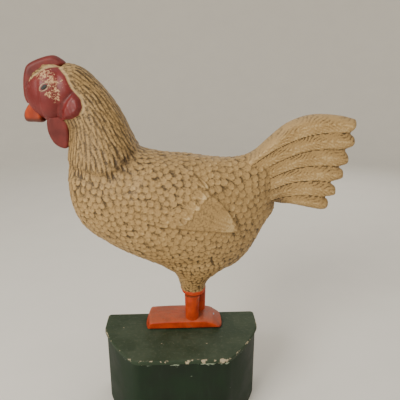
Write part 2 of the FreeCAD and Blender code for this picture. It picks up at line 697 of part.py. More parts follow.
def make_winding():
    tip, root = size["ratchet_tip"], size["ratchet_root"]
    teeth = int(size["ratchet_teeth"])
    saw = []
    for tooth in range(teeth):
        turn = 2 * math.pi * tooth / teeth
        saw += [(root * math.cos(turn), root * math.sin(turn)),
                (tip * math.cos(turn), tip * math.sin(turn))]
    layer = ("ratchet_front", "ratchet_back")
    shaped("ratchet_wheel", slab(saw, great_at, *layer, size["winding_thick"]))
    click = [(0.45, 7.45), (2.4, 8.6), (11, 8.2), (13.6, 10.4), (11.4, 12.8),
             (6, 11.6), (0.45, 9.2)]
    hole = click_bar(CLICK_AT, "pivot_front", size["stud_thick"] + size["running"])
    shaped("click", slab(click, great_at, *layer).cut(hole))
    shaped("click_pivot", click_bar(CLICK_AT, "pivot_front"))
    leaf = [(-3.5, 15.6), (-3.5, 16.1), (7, 14.4), (7, 13.9)]
    leaf = slab(leaf, great_at, "leaf_front", "leaf_back")
    shaped("click_spring", leaf.fuse(click_bar(CLICK_STUD, "ratchet_front")).removeSplitter())

    bars = [across("Winding_bar", "winding_thick", INNER_FRONT + " + end_play",
                   "key_far - 6", *great_at),
            across("Winding_front", "winding_thick - 1", "plate_front - pivot_reach",
                   INNER_FRONT + " + end_play", *great_at)]
    finished(fused("Winding_arbor", *bars), "winding_arbor")
    hub = across("Key_hub", "key_hub", "key_near", "key_far - 3", *great_at)
    bore = across("Key_bore", "winding_thick", "key_near", "key_far - 6", *great_at)
    wings = bare_form("Key_wings", key_wings())
    finished(cut("Key", fused("Key_blank", hub, wings), bore), "wing_key")


def key_wings():
    """Two round lobes on a web: a flat wing key, thin in height."""
    x, z, thin = worth(great_x), size["cam_z"], size["key_half"]
    lobe, reach, web = size["key_lobe"], size["key_reach"], size["key_web"]
    middle = size["key_far"] - lobe
    solid = Part.makeBox(2 * (reach - lobe), 2 * web, 2 * thin,
                         Vector(x - reach + lobe, middle - web, z - thin))
    for side in (-1, 1):
        centre = Vector(x + side * (reach - lobe), middle, z - thin)
        solid = solid.fuse(Part.makeCylinder(lobe, 2 * thin, centre))
        solid = solid.cut(Part.makeCylinder(size["key_eye"], 2 * thin, centre))
    return solid.removeSplitter()


def make_mainspring():
    """A flat coil of half circles about two centres, half a coil apart."""
    x, z = worth(great_x), size["cam_z"]
    near = size["spring_front"]
    far = near + size["spring_wide"]
    step = size["spring_pitch"] / 2
    halves = int(size["spring_halves"])

    def coil(grow):
        arcs = []
        for half in range(halves + 1):
            radius = size["spring_inner"] + half * step + grow
            shift, side = (0, 1) if half % 2 == 0 else (step, -1)
            ends = [Vector(x + shift + side * radius, near, z),
                    Vector(x + shift, near, z + side * radius),
                    Vector(x + shift - side * radius, near, z)]
            arcs.append(Part.Arc(*ends).toShape())
        return arcs

    outer, inner = coil(size["spring_thick"] / 2), coil(-size["spring_thick"] / 2)
    ends = [Part.makeLine(a.valueAt(t(a)), b.valueAt(t(b)))
            for a, b, t in ((outer[0], inner[0], lambda e: e.FirstParameter),
                            (outer[-1], inner[-1], lambda e: e.LastParameter))]
    ring = Part.Wire(Part.__sortEdges__(outer + inner + ends))
    shaped("mainspring", Part.Face(ring).extrude(Vector(0, far - near, 0)))
    reach = size["spring_inner"] + halves * step + size["spring_thick"] / 2
    foot = Vector(x - reach - size["post_thick"], worth(INNER_FRONT), z)
    shaped("spring_post", Part.makeCylinder(size["post_thick"], far - foot.y, foot,
                                            Vector(0, 1, 0)))


def make_cam():
    """A snail cam whose radius grows evenly, so the bird rises evenly."""
    turn = math.radians(size["lift_turn"])
    rest = size["cross_low"] + size["cross_high"] / 2 - size["cam_z"]
    slope = size["hop_high"] / turn
    inset = size["pin_thick"] + size["running"]
    x, z, y = size["cam_x"], size["cam_z"], size["cam_front"]

    def surface(angle):
        """Point of the cam face under the pin when the cam has turned this far."""
        radius = rest + slope * min(max(angle, 0), turn)
        lean = math.atan2(slope if 0 <= angle <= turn else 0, radius)
        out, aside = radius - inset * math.cos(lean), inset * math.sin(lean)
        return Vector(x + out * math.sin(angle) + aside * math.cos(angle), y,
                      z + out * math.cos(angle) - aside * math.sin(angle))

    steps = 30
    rise = Part.BSplineCurve()
    rise.interpolate([surface(turn * n / steps) for n in range(steps + 1)])
    rise = rise.toShape()
    crest = Part.Arc(surface(turn), surface(turn + 0.05), surface(turn + 0.1)).toShape()
    low_start = math.radians(size["lift_turn"] + 15) - 2 * math.pi
    low = Part.Arc(surface(low_start), surface(low_start / 2), surface(0)).toShape()
    drop = Part.makeLine(surface(turn + 0.1), surface(low_start))
    loop = [rise, crest, drop, low]
    face = Part.Face(Part.Wire(Part.__sortEdges__(loop)))
    solid = face.extrude(Vector(0, size["cam_thick"], 0))
    bore = Part.makeCylinder(size["cam_arbor_thick"], size["cam_thick"] + 2,
                             Vector(x, y - 1, z), Vector(0, 1, 0))
    shaped("snail_cam", solid.cut(bore))


def make_stop():
    at = ("stop_x", "stop_z")
    finished(across("Stop_rod_bar", "stop_thick", "stop_tip", "stop_end", *at), "stop_rod")
    knob = across("Knob_blank", "knob_thick", "knob_near", "knob_far", *at)
    neck = across("Knob_neck", "stop_thick + 1.5", "knob_neck", "knob_near", *at)
    bore = across("Knob_bore", "stop_thick", "knob_neck", "stop_end", *at)
    finished(cut("Stop_knob", fused("Knob_whole", knob, neck), bore), "stop_knob")


# ---------------------------------------------------------------- lift

def make_lift():
    for label, x in (("lift_rod_front", "rod_front_x"), ("lift_rod_rear", "rod_rear_x")):
        finished(upright("Rod_" + label, "rod_thick", "cross_low - 4", "rod_top", x), label)
    bar = block("Cross_bar", "rod_front_x - cross_reach", "rod_rear_x + cross_reach",
                "0 - cross_half", "cross_half", "cross_low", "cross_low + cross_high")
    holes = [upright("Cross_hole_%d" % n, "rod_thick", "cross_low", "cross_low + cross_high", x)
             for n, x in enumerate(("rod_front_x", "rod_rear_x"))]
    holes.append(across("Cross_pin_hole", "pin_thick", "0 - cross_half", "cross_half",
                        "cam_x", "cross_low + cross_high / 2"))
    finished(drilled("Crosshead", bar, *holes), "crosshead")
    finished(across("Follower", "pin_thick", "pin_front", "cross_half", "cam_x",
                    "cross_low + cross_high / 2"), "follower_pin")
    nuts = []
    for n, x in enumerate(("rod_front_x", "rod_rear_x")):
        for place, low in (("low", "cross_low - nut_high"),
                           ("high", "cross_low + cross_high")):
            name = "Nut_%s_%d" % (place, n)
            blank = doc.addObject("Part::Prism", name)
            blank.Polygon = 6
            bind(blank, Circumradius="rod_thick * 1.8", Height="nut_high")
            put(blank, x, "0", low)
            hole = upright(name + "_hole", "rod_thick", low, low + " + nut_high", x)
            nuts.append(cut(name + "_drilled", blank, hole))
    finished(grouped("Rod_nuts", nuts), "rod_nuts")


# ---------------------------------------------------------------- legs

LEGS = (("shank_left", "leg_left_x", "0 - leg_apart"), ("shank_right", "leg_right_x", "leg_apart"))


def make_legs():
    body, sketch = body_with_sketch("Block", "XZ_Plane", "0 - block_half")
    floor = "plinth_high + block_gap"
    draw_polygon(sketch, (
        ("toe_x", floor), ("heel_x", floor), ("heel_x", "heel_high"),
        ("slope_x", "slope_high"), ("flat_rear_x", "flat_high"),
        ("flat_front_x", "flat_high"), ("toe_top_x", "toe_high")))
    feature = pad(body, sketch, "2 * block_half")
    outer = size["block_half"] - 0.1
    bevelled(body, feature, "block_bevel", lambda e: abs(e.BoundBox.YLength) < 0.01
             and abs(e.CenterOfMass.y) > outer and e.CenterOfMass.z > size["leg_foot"]
             and e.BoundBox.XLength > 5)
    cones, bolts, seats = [], [], []
    for label, x, y in LEGS:
        cone = doc.addObject("Part::Cone", "Cone_" + label)
        bind(cone, Radius1="leg_thick_foot", Radius2="leg_thick_top",
             Height="leg_top - leg_foot")
        put(cone, x, y, "leg_foot")
        bolt = upright("Bolt_" + label, "bolt_thick", floor, "leg_top + bolt_reach", x, y)
        seat = upright("Seat_" + label, "bolt_thick * 2", floor, floor + " + bolt_head", x, y)
        finished(cut("Drilled_" + label, cone, bolt), label)
        cones.append(cone)
        bolts.append(bolt)
        seats.append(seat)
    rods = [upright("Block_rod_hole_%d" % n, "rod_thick", floor, "rod_top", x)
            for n, x in enumerate(("rod_front_x", "rod_rear_x"))]
    finished(drilled("Foot_block", body, *cones, *bolts, *seats, *rods), "foot_block")
    finished(grouped("Leg_bolts", [fused("Whole_bolt_%d" % n, bolt, seat)
             for n, (bolt, seat) in enumerate(zip(bolts, seats))]), "leg_bolts")
    return bolts


# ---------------------------------------------------------------- bird

# Sections of the bird: a low or front point and a high or back point in the
# middle plane, as (x, z), and the half width there.
TORSO = (
    ((-98.5, 219), (-98.5, 233), 8), ((-94, 199), (-94, 245), 22),
    ((-84, 180), (-84, 254), 31), ((-66, 167), (-66, 257), 37),
    ((-42, 153.5), (-42, 255), 41), ((-15, 142), (-15, 249), 42),
    ((10, 136), (10, 247), 40), ((32, 135.5), (32, 244), 36),
    ((50, 140), (50, 244), 29), ((64, 154), (64, 247.5), 22),
    ((76, 176), (76, 252), 15), ((86, 192), (86, 254), 8),
)
NECK = (
    ((-97.5, 208), (-22, 240), 36), ((-98.5, 228), (-33, 251.5), 33),
    ((-97.5, 245), (-40.5, 265), 28.5), ((-97, 260), (-46, 279), 24.5),
    ((-98, 272), (-53, 292), 21.5), ((-104, 282), (-63, 305.5), 19),
    ((-110, 294), (-77, 318.5), 16), ((-110, 306), (-90, 323), 10),
)
THIGH = (
    ((-38, 172), (60, 172), 33), ((-31, 147), (55, 147), 31),
    ((-16, 136), (40, 136), 26), ((-7.5, 127), (29, 127), 22),
    ((-3, 118), (26.5, 118), 19), ((-2, 111.5), (26.5, 111.5), 18),
)
HEAD_AT, HEAD_RADII = (-104, 0, 300), (21, 17.5, 22.8)
FULLNESS = 2.2


def section(low, high, half):
    """A closed, slightly squared oval through two points of the middle plane."""
    low, high = Vector(low[0], 0, low[1]), Vector(high[0], 0, high[1])
    middle, reach = (low + high) / 2, (high - low) / 2
    points = []
    for step in range(16):
        turn = 2 * math.pi * step / 16
        up, side = math.sin(turn), math.cos(turn)
        bulge = (abs(up) ** FULLNESS + abs(side) ** FULLNESS) ** (-1 / FULLNESS)
        points.append(middle + reach * (up * bulge) + Vector(0, half * side * bulge, 0))
    curve = Part.BSplineCurve()
    curve.interpolate(points, True)
    return Part.Wire(curve.toShape())


def narrowed(sections, inset, close_start=True, close_end=True):
    """The same sections, smaller all round by the inset, for the hollow inside."""
    result = []
    for low, high, half in sections:
        length = math.hypot(high[0] - low[0], high[1] - low[1])
        ux, uz = (high[0] - low[0]) / length, (high[1] - low[1]) / length
        inward = min(inset, length / 2 - 1.5)
        result.append(((low[0] + ux * inward, low[1] + uz * inward),
                       (high[0] - ux * inward, high[1] - uz * inward),
                       max(half - inset, 2)))
    if close_start:
        result[0] = shifted(result[0], result[1], inset)
    if close_end:
        result[-1] = shifted(result[-1], result[-2], inset)
    return result


def shifted(end, neighbour, distance):
    """Move an end section towards its neighbour."""
    a = Vector(end[0][0] + end[1][0], 0, end[0][1] + end[1][1]) / 2
    b = Vector(neighbour[0][0] + neighbour[1][0], 0, neighbour[0][1] + neighbour[1][1]) / 2
    step = (b - a).normalize() * min(distance, (b - a).Length / 2)
    return tuple((x + step.x, z + step.z) for x, z in end[:2]) + (end[2],)


def loft(sections):
    return Part.makeLoft([section(*entry) for entry in sections], True, False)


def head_ball(inset):
    ball = Part.makeSphere(1)
    stretch = FreeCAD.Matrix()
    stretch.scale(*[radius - inset for radius in HEAD_RADII])
    ball = ball.transformGeometry(stretch)
    ball.translate(Vector(*HEAD_AT))
    return ball


def joined(shapes):
    whole = shapes[0]
    for shape in shapes[1:]:
        whole = whole.fuse(shape)
    return whole


def spline(points):
    curve = Part.BSplineCurve()
    curve.interpolate([Vector(x, 0, z) for x, z in points])
    return curve.toShape()


def extruded(edges, near, far):
    """A slab parallel to the middle plane, from edges drawn in it."""
    face = Part.Face(Part.Wire(Part.__sortEdges__(edges)))
    face.translate(Vector(0, near, 0))
    return face.extrude(Vector(0, far - near, 0))


def straight(a, b):
    return Part.makeLine(Vector(a[0], 0, a[1]), Vector(b[0], 0, b[1]))


def make_bird(bolts):
    thick = size["shell_thick"]
    outer = joined([loft(TORSO), loft(NECK), loft(THIGH), head_ball(0)])
    inner_thigh = loft(narrowed(THIGH, thick, False, False))
    inner = joined([loft(narrowed(TORSO, thick)), loft(narrowed(NECK, thick)),
                    inner_thigh, head_ball(thick)])

    comb_out = ((-91, 322), (-97.5, 328), (-104, 329), (-112.5, 327), (-121, 323),
                (-127.5, 315.5), (-129.5, 305), (-128.8, 296), (-124.5, 290))
    comb_in = ((-124.5, 290), (-119, 297), (-117, 307), (-110, 315), (-99, 317), (-91, 322))
    band = [spline(comb_out), spline(comb_in)]
    blade = extruded(band, -size["root_half"], size["root_half"])
    tongue = Part.makeBox(26, 6, 22, Vector(66, -3, 212))
    peg = Part.makeCylinder(3, 14, Vector(-107, 0, 288.2), Vector(-13.5, 0, -4.5))

    shell = outer.cut(inner)
    for inset in (tongue, blade, peg):
        shell = shell.cut(inset)
    reach = 400
    for label, y in (("body_shell_left", -reach), ("body_shell_right", 0)):
        side = Part.makeBox(2 * reach, reach, 2 * reach, Vector(-reach, y, -reach / 2))
        shaped(label, biggest(shell.common(side)))

    top = ((60, 246), (68.5, 252), (81.5, 263), (94.5, 273), (109.5, 279),
           (123.5, 280.5), (140.5, 279), (153, 274.5))
    end = ((153, 274.5), (156, 268), (152.5, 248), (147, 228), (141.5, 210), (134.5, 193.5))
    low = ((134.5, 193.5), (117, 195.5), (99.5, 198), (86, 195.5))
    fan = extruded([spline(top), spline(end), spline(low), straight(low[-1], top[0])],
                   -size["tail_half"], size["tail_half"])
    plan = [Vector(x, y, 180) for x, y in (
        (55, -15), (70, -12.5), (100, -9), (130, -7.5), (158, -5.5),
        (158, 5.5), (130, 7.5), (100, 9), (70, 12.5), (55, 15), (55, -15))]
    fan = fan.common(Part.Face(Part.makePolygon(plan)).extrude(Vector(0, 0, 110)))
    shaped("tail_fan", biggest(fan.cut(outer.copy()).fuse(tongue).removeSplitter()))

    comb = extruded(band, -size["comb_half"], size["comb_half"]).cut(outer.copy())
    comb = comb.fuse(blade).removeSplitter()
    shaped("comb", comb)
    beak_sections = (((-112.5, 277), (-120, 294), 8), ((-120, 275.5), (-125, 289.5), 6.5),
                     ((-127, 276), (-129, 285), 4.4), ((-130.6, 278), (-131.4, 282.5), 2.2))
    beak = loft(beak_sections).cut(outer.copy()).cut(comb).fuse(peg).removeSplitter()
    shaped("beak", biggest(beak))

    apart, thin = size["wattle_apart"], size["wattle_thick"]
    for name, near in (("left", -apart - thin), ("right", apart)):
        oval = spline(((-103, 283), (-109.5, 278), (-111.5, 270), (-108.5, 261),
                       (-102, 254.5), (-97.5, 253), (-94.8, 258), (-94.8, 268), (-97, 279)))
        wattle = extruded([oval, straight((-97, 279), (-103, 283))], near, near + thin)
        shaped("wattle_" + name, biggest(wattle.cut(outer.copy()).cut(beak)))

    plug = inner_thigh.common(Part.makeBox(200, 100, 34, Vector(-100, -50, 100)))
    for bolt in bolts:
        plug = plug.cut(bolt.Shape)
    shaped("thigh_plug", plug)


def biggest(shape):
    return max(shape.Solids, key=lambda solid: solid.Volume)


# ---------------------------------------------------------------- assembly

make_plinth()
make_movement_frame()
make_train()
make_winding()
make_mainspring()
make_cam()
make_stop()
make_lift()
leg_bolts = make_legs()
doc.recompute()
make_bird(leg_bolts)
doc.recompute()

for thing in doc.Objects:
    if "Invalid" in thing.State or "Error" in thing.State:
        raise RuntimeError("%s failed: %s" % (thing.Label, thing.State))
os.makedirs("parts", exist_ok=True)
for thing in pieces:
    shape = thing.Shape
    if shape.isNull() or not shape.isValid() or not shape.Solids:
        raise RuntimeError("%s has no valid solid" % thing.Label)
    shape.exportStep("parts/%s.step" % thing.Label)
    print("%-18s %2d solid(s) %10.1f mm3" % (thing.Label, len(shape.Solids), shape.Volume))
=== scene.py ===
# %% [markdown]
# # A wind-up hopping hen
# The toy is a hen of moulded and painted composition (sawdust and glue pressed in a two-part
# mould), on an orange block, on a bow-fronted wooden plinth that hides its clockwork. The
# frame is loaded first: it holds every CAD piece at its real size and place, in metres. The
# pieces made here sit on it, and the CAD pieces that are already right get a finish.

# %% Load the frame
import json
import math
from functools import partial
import bmesh
import bpy
import numpy as np
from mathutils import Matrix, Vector
from mathutils.kdtree import KDTree


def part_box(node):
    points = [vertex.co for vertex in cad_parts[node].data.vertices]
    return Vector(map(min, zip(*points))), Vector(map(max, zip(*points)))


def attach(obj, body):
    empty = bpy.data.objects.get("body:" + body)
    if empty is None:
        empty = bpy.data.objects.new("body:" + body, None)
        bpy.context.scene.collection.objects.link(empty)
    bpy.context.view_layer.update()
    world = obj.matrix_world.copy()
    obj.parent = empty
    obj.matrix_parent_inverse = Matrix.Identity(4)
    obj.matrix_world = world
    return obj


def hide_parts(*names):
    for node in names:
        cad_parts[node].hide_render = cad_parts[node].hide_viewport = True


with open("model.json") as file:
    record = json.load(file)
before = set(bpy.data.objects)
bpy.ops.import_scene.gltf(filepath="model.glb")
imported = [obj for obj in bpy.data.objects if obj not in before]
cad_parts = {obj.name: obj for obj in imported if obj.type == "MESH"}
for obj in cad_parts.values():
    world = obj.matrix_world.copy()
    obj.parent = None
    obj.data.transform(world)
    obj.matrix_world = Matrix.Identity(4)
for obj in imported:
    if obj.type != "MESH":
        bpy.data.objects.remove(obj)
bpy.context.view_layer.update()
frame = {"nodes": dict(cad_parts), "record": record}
MM = 0.001

# %% [markdown]
# ## The floor, the light and the camera
# A toy is shown best by one large soft light from the upper left, a weaker one from the right
# and a wide pale one overhead. Area lights are used because small lamps would give hard
# shadows in the feathers. The camera looks down by 18 degrees, a little from the hen's front.

# %% Camera
def looking(turn, tilt):
    """The rotation of a camera that is turned about Z from +Y and tilted down, in degrees."""
    turn, tilt = math.radians(turn), math.radians(tilt)
    along = Vector((math.sin(turn) * math.cos(tilt), math.cos(turn) * math.cos(tilt),
                    -math.sin(tilt)))
    return along.to_track_quat("-Z", "Y").to_euler()


CAMERA_AT, CAMERA_TURN, CAMERA_TILT = (1.5, -389, 330), 2.5, 18
camera = bpy.data.objects.new("camera", bpy.data.cameras.new("camera"))
bpy.context.scene.collection.objects.link(camera)
camera.location = Vector(CAMERA_AT) * MM
camera.rotation_euler = looking(CAMERA_TURN, CAMERA_TILT)
camera.data.lens = 40.5
camera.data.sensor_width = 36
bpy.context.scene.camera = camera
print("the camera stands", round(camera.location.length, 3), "m from the plinth's middle")

# %% Lights
LIGHTS = (
    # name, place in metres, size in metres, power in watts, warmth
    ("key", (-0.62, -0.72, 0.72), 0.50, 11.6, (1.0, 0.97, 0.91)),
    ("fill", (0.85, -0.55, 0.45), 0.80, 1.2, (1.0, 0.98, 0.95)),
    ("overhead", (0.05, 0.15, 1.10), 0.70, 1.6, (1.0, 0.98, 0.95)),
    ("rim", (0.35, 0.80, 0.55), 0.60, 1.6, (1.0, 0.98, 0.95)),
)
LIT_POINT = Vector((0, 0, 0.17))
for name, place, width, power, warmth in LIGHTS:
    lamp = bpy.data.lights.new(name, "AREA")
    lamp.size, lamp.energy, lamp.color = width, power, warmth
    light = bpy.data.objects.new(name, lamp)
    light.location = place
    light.rotation_euler = (LIT_POINT - light.location).to_track_quat("-Z", "Y").to_euler()
    bpy.context.scene.collection.objects.link(light)
world = bpy.data.worlds.new("studio")
world.use_nodes = True
world.node_tree.nodes["Background"].inputs["Color"].default_value = (0.82, 0.79, 0.74, 1)
world.node_tree.nodes["Background"].inputs["Strength"].default_value = 0.60
bpy.context.scene.world = world
print(len(LIGHTS), "area lights")

# %% [markdown]
# ## Finishes
# Each finish is a small node tree. One function adds a node and links it, and another turns an
# sRGB hex value to the linear numbers that a shader needs. Six nodes that are used all the
# time have a short name: mix is a share of two colours, ramp a soft step from 0 to 1 (or
# between two other values) as its input goes from low to high, and the rest are sums.

# %% Tools for finishes
SHORT = {
    # short name: kind of node, its settings, its inputs in the order of the values, its output
    "mix": ("ShaderNodeMix", {"data_type": "RGBA"}, (0, 6, 7), 2),
    "ramp": ("ShaderNodeMapRange", {"interpolation_type": "SMOOTHSTEP"}, (0, 1, 2, 3, 4), 0),
    "plus": ("ShaderNodeMath", {"operation": "ADD"}, (0, 1), 0),
    "minus": ("ShaderNodeMath", {"operation": "SUBTRACT"}, (0, 1), 0),
    "times": ("ShaderNodeMath", {"operation": "MULTIPLY"}, (0, 1), 0),
    "larger": ("ShaderNodeMath", {"operation": "MAXIMUM"}, (0, 1), 0),
}


def tint(hex_value):
    """sRGB hex to linear RGBA."""
    parts = [int(hex_value[i:i + 2], 16) / 255 for i in (1, 3, 5)]
    return [c / 12.92 if c <= 0.04045 else ((c + 0.055) / 1.055) ** 2.4 for c in parts] + [1.0]


def add(tree, kind, *values, **settings):
    """Adds a node with its settings and links. A short kind takes its inputs' values in order
    and gives its output; any other takes one dictionary of inputs and gives the node."""
    kind, fixed, order, output = SHORT.get(kind, (kind, {}, None, None))
    made = tree.nodes.new(kind)
    for key, value in {**fixed, **settings}.items():
        setattr(made, key, value)
    links = dict(zip(order, values)) if order else values[0] if values else {}
    for key, value in links.items():
        if isinstance(value, bpy.types.NodeSocket):
            tree.links.new(value, made.inputs[key])
        else:
            made.inputs[key].default_value = value
    return made.outputs[output] if order else made


def finish(name, **constants):
    """A new material: what adds a node to it, its shader, and the place on a piece."""
    material = bpy.data.materials.new(name)
    material.use_nodes = True
    shader = material.node_tree.nodes["Principled BSDF"]
    for key, value in constants.items():
        shader.inputs[key].default_value = value
    node = partial(add, material.node_tree)
    return material, node, shader, node("ShaderNodeTexCoord").outputs["Object"]


def lumps(node, where, size_mm, detail=3.0, stretch=(1, 1, 1), rough=0.55):
    """A pattern of lumps about size_mm across, stretched along an axis."""
    moved = node("ShaderNodeMapping", {"Vector": where, "Scale": stretch})
    return node("ShaderNodeTexNoise", {
        "Vector": moved.outputs["Vector"], "Scale": 1 / (size_mm * MM),
        "Detail": detail, "Roughness": rough}).outputs["Fac"]


def dress(node, shader, colour, roughness, height, depth_mm, strength):
    """Gives the shader its colour, its roughness and a relief that is depth_mm deep."""
    bump = node("ShaderNodeBump", {"Height": height, "Strength": strength,
                                   "Distance": depth_mm * MM})
    for key, value in (("Base Color", colour), ("Roughness", roughness),
                       ("Normal", bump.outputs["Normal"])):
        shader.id_data.links.new(value, shader.inputs[key])


print("tools for finishes are ready")

# %% [markdown]
# ### Painted plumage
# Composition is pressed sawdust and glue, sealed and painted with a cream oil paint, then
# wiped with a brown glaze that stays in the hollows. So the colour follows the relief: an
# attribute called "crease" is 0 in the grooves and 1 on the crown of a feather. "tone" is one
# random value per feather, "face" marks the bare red skin and "worn" where its paint is rubbed
# off. "leg" is where the orange of the legs runs up on the thighs. One attribute is painted
# shade, dark brown where shadow falls under the cape, the ear lobe and the wing and at the root
# of the tail. "pale" is paler paint, partly a painted highlight along the upper edge of the face.
# The cheek groove of the red face is darkened as painted shade. Old oil paint is satin, with a
# fine tooth.

# %% Painted composition
def plumage_finish():
    material, node, shader, where = finish("painted_composition", Roughness=0.62, IOR=1.47)
    read = {key: node("ShaderNodeAttribute", attribute_name=key).outputs["Fac"]
            for key in ("crease", "tone", "face", "leg", "worn", "stain", "pale")}
    blotch = lumps(node, where, 16, 3)
    speck = lumps(node, where, 1.6, 3)
    hollow = node("plus", read["crease"], node("ramp", speck, 0.3, 0.7, -0.16, 0.16))
    body = node("mix", node("ramp", hollow, 0.22, 0.74), tint("#493618"), tint("#a78755"))
    body = node("mix", node("ramp", hollow, 0.78, 1.08, 0, 0.6), body, tint("#d3b784"))
    warm = node("times", read["tone"], node("ramp", blotch, 0.35, 0.75))
    body = node("mix", node("times", warm, 0.5), body, tint("#8d6f40"))
    # Paler paint, and a painted highlight along the upper edge of the face.
    body = node("mix", node("times", read["pale"], 0.7), body, tint("#bfa377"))
    # Painted shade: dark brown where the shade attribute is high, under overhangs and between
    # parts.
    dark_shade_and_stain = node("times", read["stain"], node("ramp", speck, 0.2, 0.75, 1.0, 0.35))
    body = node("mix", dark_shade_and_stain, body, tint("#3f2a14"))

    red = node("mix", node("ramp", blotch, 0.3, 0.7), tint("#651514"), tint("#762421"))
    # Painted shade: darker red in the cheek groove, where the face's crease is low.
    red = node("mix", node("ramp", hollow, 0.0, 0.5, 0.75, 0.0), red, tint("#4d0b08"))
    flake = lumps(node, where, 2.0, 6, rough=0.75)
    edge = node("plus", flake, node("times", read["worn"], 0.2))
    bare = node("ramp", edge, 0.70, 0.75)
    red = node("mix", bare, red, tint("#c39a70"))
    colour = node("mix", node("ramp", read["face"], 0.35, 0.65), body, red)
    ragged = node("plus", read["leg"], node("ramp", flake, 0.3, 0.7, -0.3, 0.3))
    colour = node("mix", node("ramp", ragged, 0.35, 0.65), colour, tint("#b83a0e"))
    gloss = node("ramp", read["face"], 0.35, 0.65, 0.62, 0.46)
    gloss = node("plus", gloss, node("ramp", speck, 0.2, 0.8, -0.05, 0.08))
    fine = node("plus", speck, node("times", bare, -0.8))
    dress(node, shader, colour, gloss, fine, 0.22, 0.55)
    return material


painted_composition = plumage_finish()
print("made", painted_composition.name)

# %% [markdown]
# ### Enamels
# The comb, wattles, beak, legs and block are covered by thicker gloss paint, laid with a
# brush: enamel over a pale ground. It dulls with age, gathers grime, and rubs through at
# edges and where fingers hold it. The grime is broad noise, the chips are noise cut at a sharp
# level, dust lies on what faces up, and an attribute adds painted shade in the grime's colour.

# %% Enamel
def enamel(name, main, deep, chip, dirt_and_shade, gloss, chips, dirty, dust=0.0):
    """Old brushed enamel: two close tones, a soft film of grime, painted shade and sharp-edged
    chips.
    """
    material, node, shader, where = finish(name, IOR=1.45)
    broad, fine = lumps(node, where, 11, 3), lumps(node, where, 1.4, 4, rough=0.65)
    streak = lumps(node, where, 2.0, 3, stretch=(1, 1, 0.25))
    colour = node("mix", node("ramp", broad, 0.3, 0.7), tint(deep), tint(main))
    colour = node("mix", node("ramp", streak, 0.45, 0.75, 0, 0.35), colour, tint(deep))
    film = node("times", node("ramp", broad, dirty, dirty + 0.16), 0.55)
    colour = node("mix", film, colour, tint(dirt_and_shade))
    facing = node("ShaderNodeSeparateXYZ",
                  {"Vector": node("ShaderNodeNewGeometry").outputs["Normal"]})
    lain = node("times", node("ramp", facing.outputs["Z"], 0.5, 0.95, 0, dust),
                node("ramp", fine, 0.3, 0.7, 0.5, 1.0))
    colour = node("mix", lain, colour, tint("#94775a"))
    # Painted shade from an attribute: on the beak along its lower edge and at its root, with a
    # darker tip.
    stain = node("ShaderNodeAttribute", attribute_name="stain").outputs["Fac"]
    colour = node("mix", node("times", stain, 0.85), colour, tint(dirt_and_shade))
    both = node("plus", node("times", broad, 0.4), node("times", fine, 0.6))
    bare = node("ramp", both, chips, chips + 0.025)
    colour = node("mix", bare, colour, tint(chip))
    dull = node("plus", node("ramp", broad, 0.2, 0.8, gloss - 0.06, gloss + 0.1),
                node("times", bare, 0.3))
    height = node("minus", streak, node("times", bare, 1.2))
    dress(node, shader, colour, dull, height, 0.12, 0.6)
    return material


red_enamel = enamel("red_enamel", "#752620", "#5c1a15", "#b58a63", "#3d1712", 0.54, 0.73, 0.66)
orange_enamel = enamel("orange_enamel", "#c13f0d", "#962c08", "#c9a07a", "#5d4a38", 0.50, 0.69,
                       0.60, dust=0.42)
beak_enamel = enamel("beak_enamel", "#bb4510", "#8a2d0e", "#b98a60", "#34180f", 0.46, 0.75, 0.58)
print("made", red_enamel.name, orange_enamel.name, beak_enamel.name)

# %% [markdown]
# ## The hen's skin
# The hen is a soft organic form, so it isn't turned or extruded. Rings are laid along the
# trunk, the neck and the thighs, each through a low and a high point on the middle plane, and
# an egg is added for the head. The overlapping forms are then wrapped in one even skin by a
# voxel remesh, and the creases where they met are relaxed, as a sculptor smooths clay.

# %% Rings along a form
TORSO = (((-96.8, 219), (-96.8, 233), 8), ((-92.8, 199), (-92.8, 245), 22),
         ((-84, 181), (-84, 254), 31), ((-66, 167), (-66, 257), 37),
         ((-42, 153.5), (-42, 255), 41), ((-15, 142), (-15, 249), 42), ((10, 136), (10, 247), 40),
         ((32, 135.5), (32, 244), 36), ((50, 140), (50, 244), 29), ((64, 154), (64, 247.5), 22),
         ((76, 176), (76, 252), 15), ((86, 192), (86, 254), 8))
NECK = (((-95.8, 208), (-22, 240), 36), ((-96.6, 228), (-33, 251.5), 33),
        ((-95.4, 245), (-40.5, 265), 28.5), ((-93.6, 260), (-46, 279), 24.5),
        ((-94.5, 272), (-53, 292), 21.5), ((-103, 283), (-63, 305.5), 18.2),
        ((-110, 294), (-77, 318.5), 16), ((-110, 306), (-90, 323), 10))
THIGH = (((-38, 172), (60, 172), 33), ((-26, 149), (54, 149), 30),
         ((-9.5, 137.5), (39, 137.5), 25), ((-4, 129), (29.5, 129), 20),
         ((-1.6, 120), (24.4, 120), 16), ((0.6, 112.5), (23.6, 112.5), 14.5))
HEAD_AT, HEAD_RADII = (-104, 0, 300), (21, 17.5, 22.8)
FULLNESS = 2.2


def curve_through(rows, steps):
    """Rows of numbers joined by a smooth curve (Catmull-Rom), with steps between rows."""
    rows = np.asarray(rows, float)
    padded = np.vstack((2 * rows[0] - rows[1], rows, 2 * rows[-1] - rows[-2]))
    out = []
    for k in range(len(rows) - 1):
        a, b, c, d = padded[k:k + 4]
        for t in np.arange(steps) / steps:
            out.append(0.5 * (2 * b + (c - a) * t + (2 * a - 5 * b + 4 * c - d) * t * t
                              + (3 * b - a - 3 * c + d) * t ** 3))
    return np.array(out + [rows[-1]])


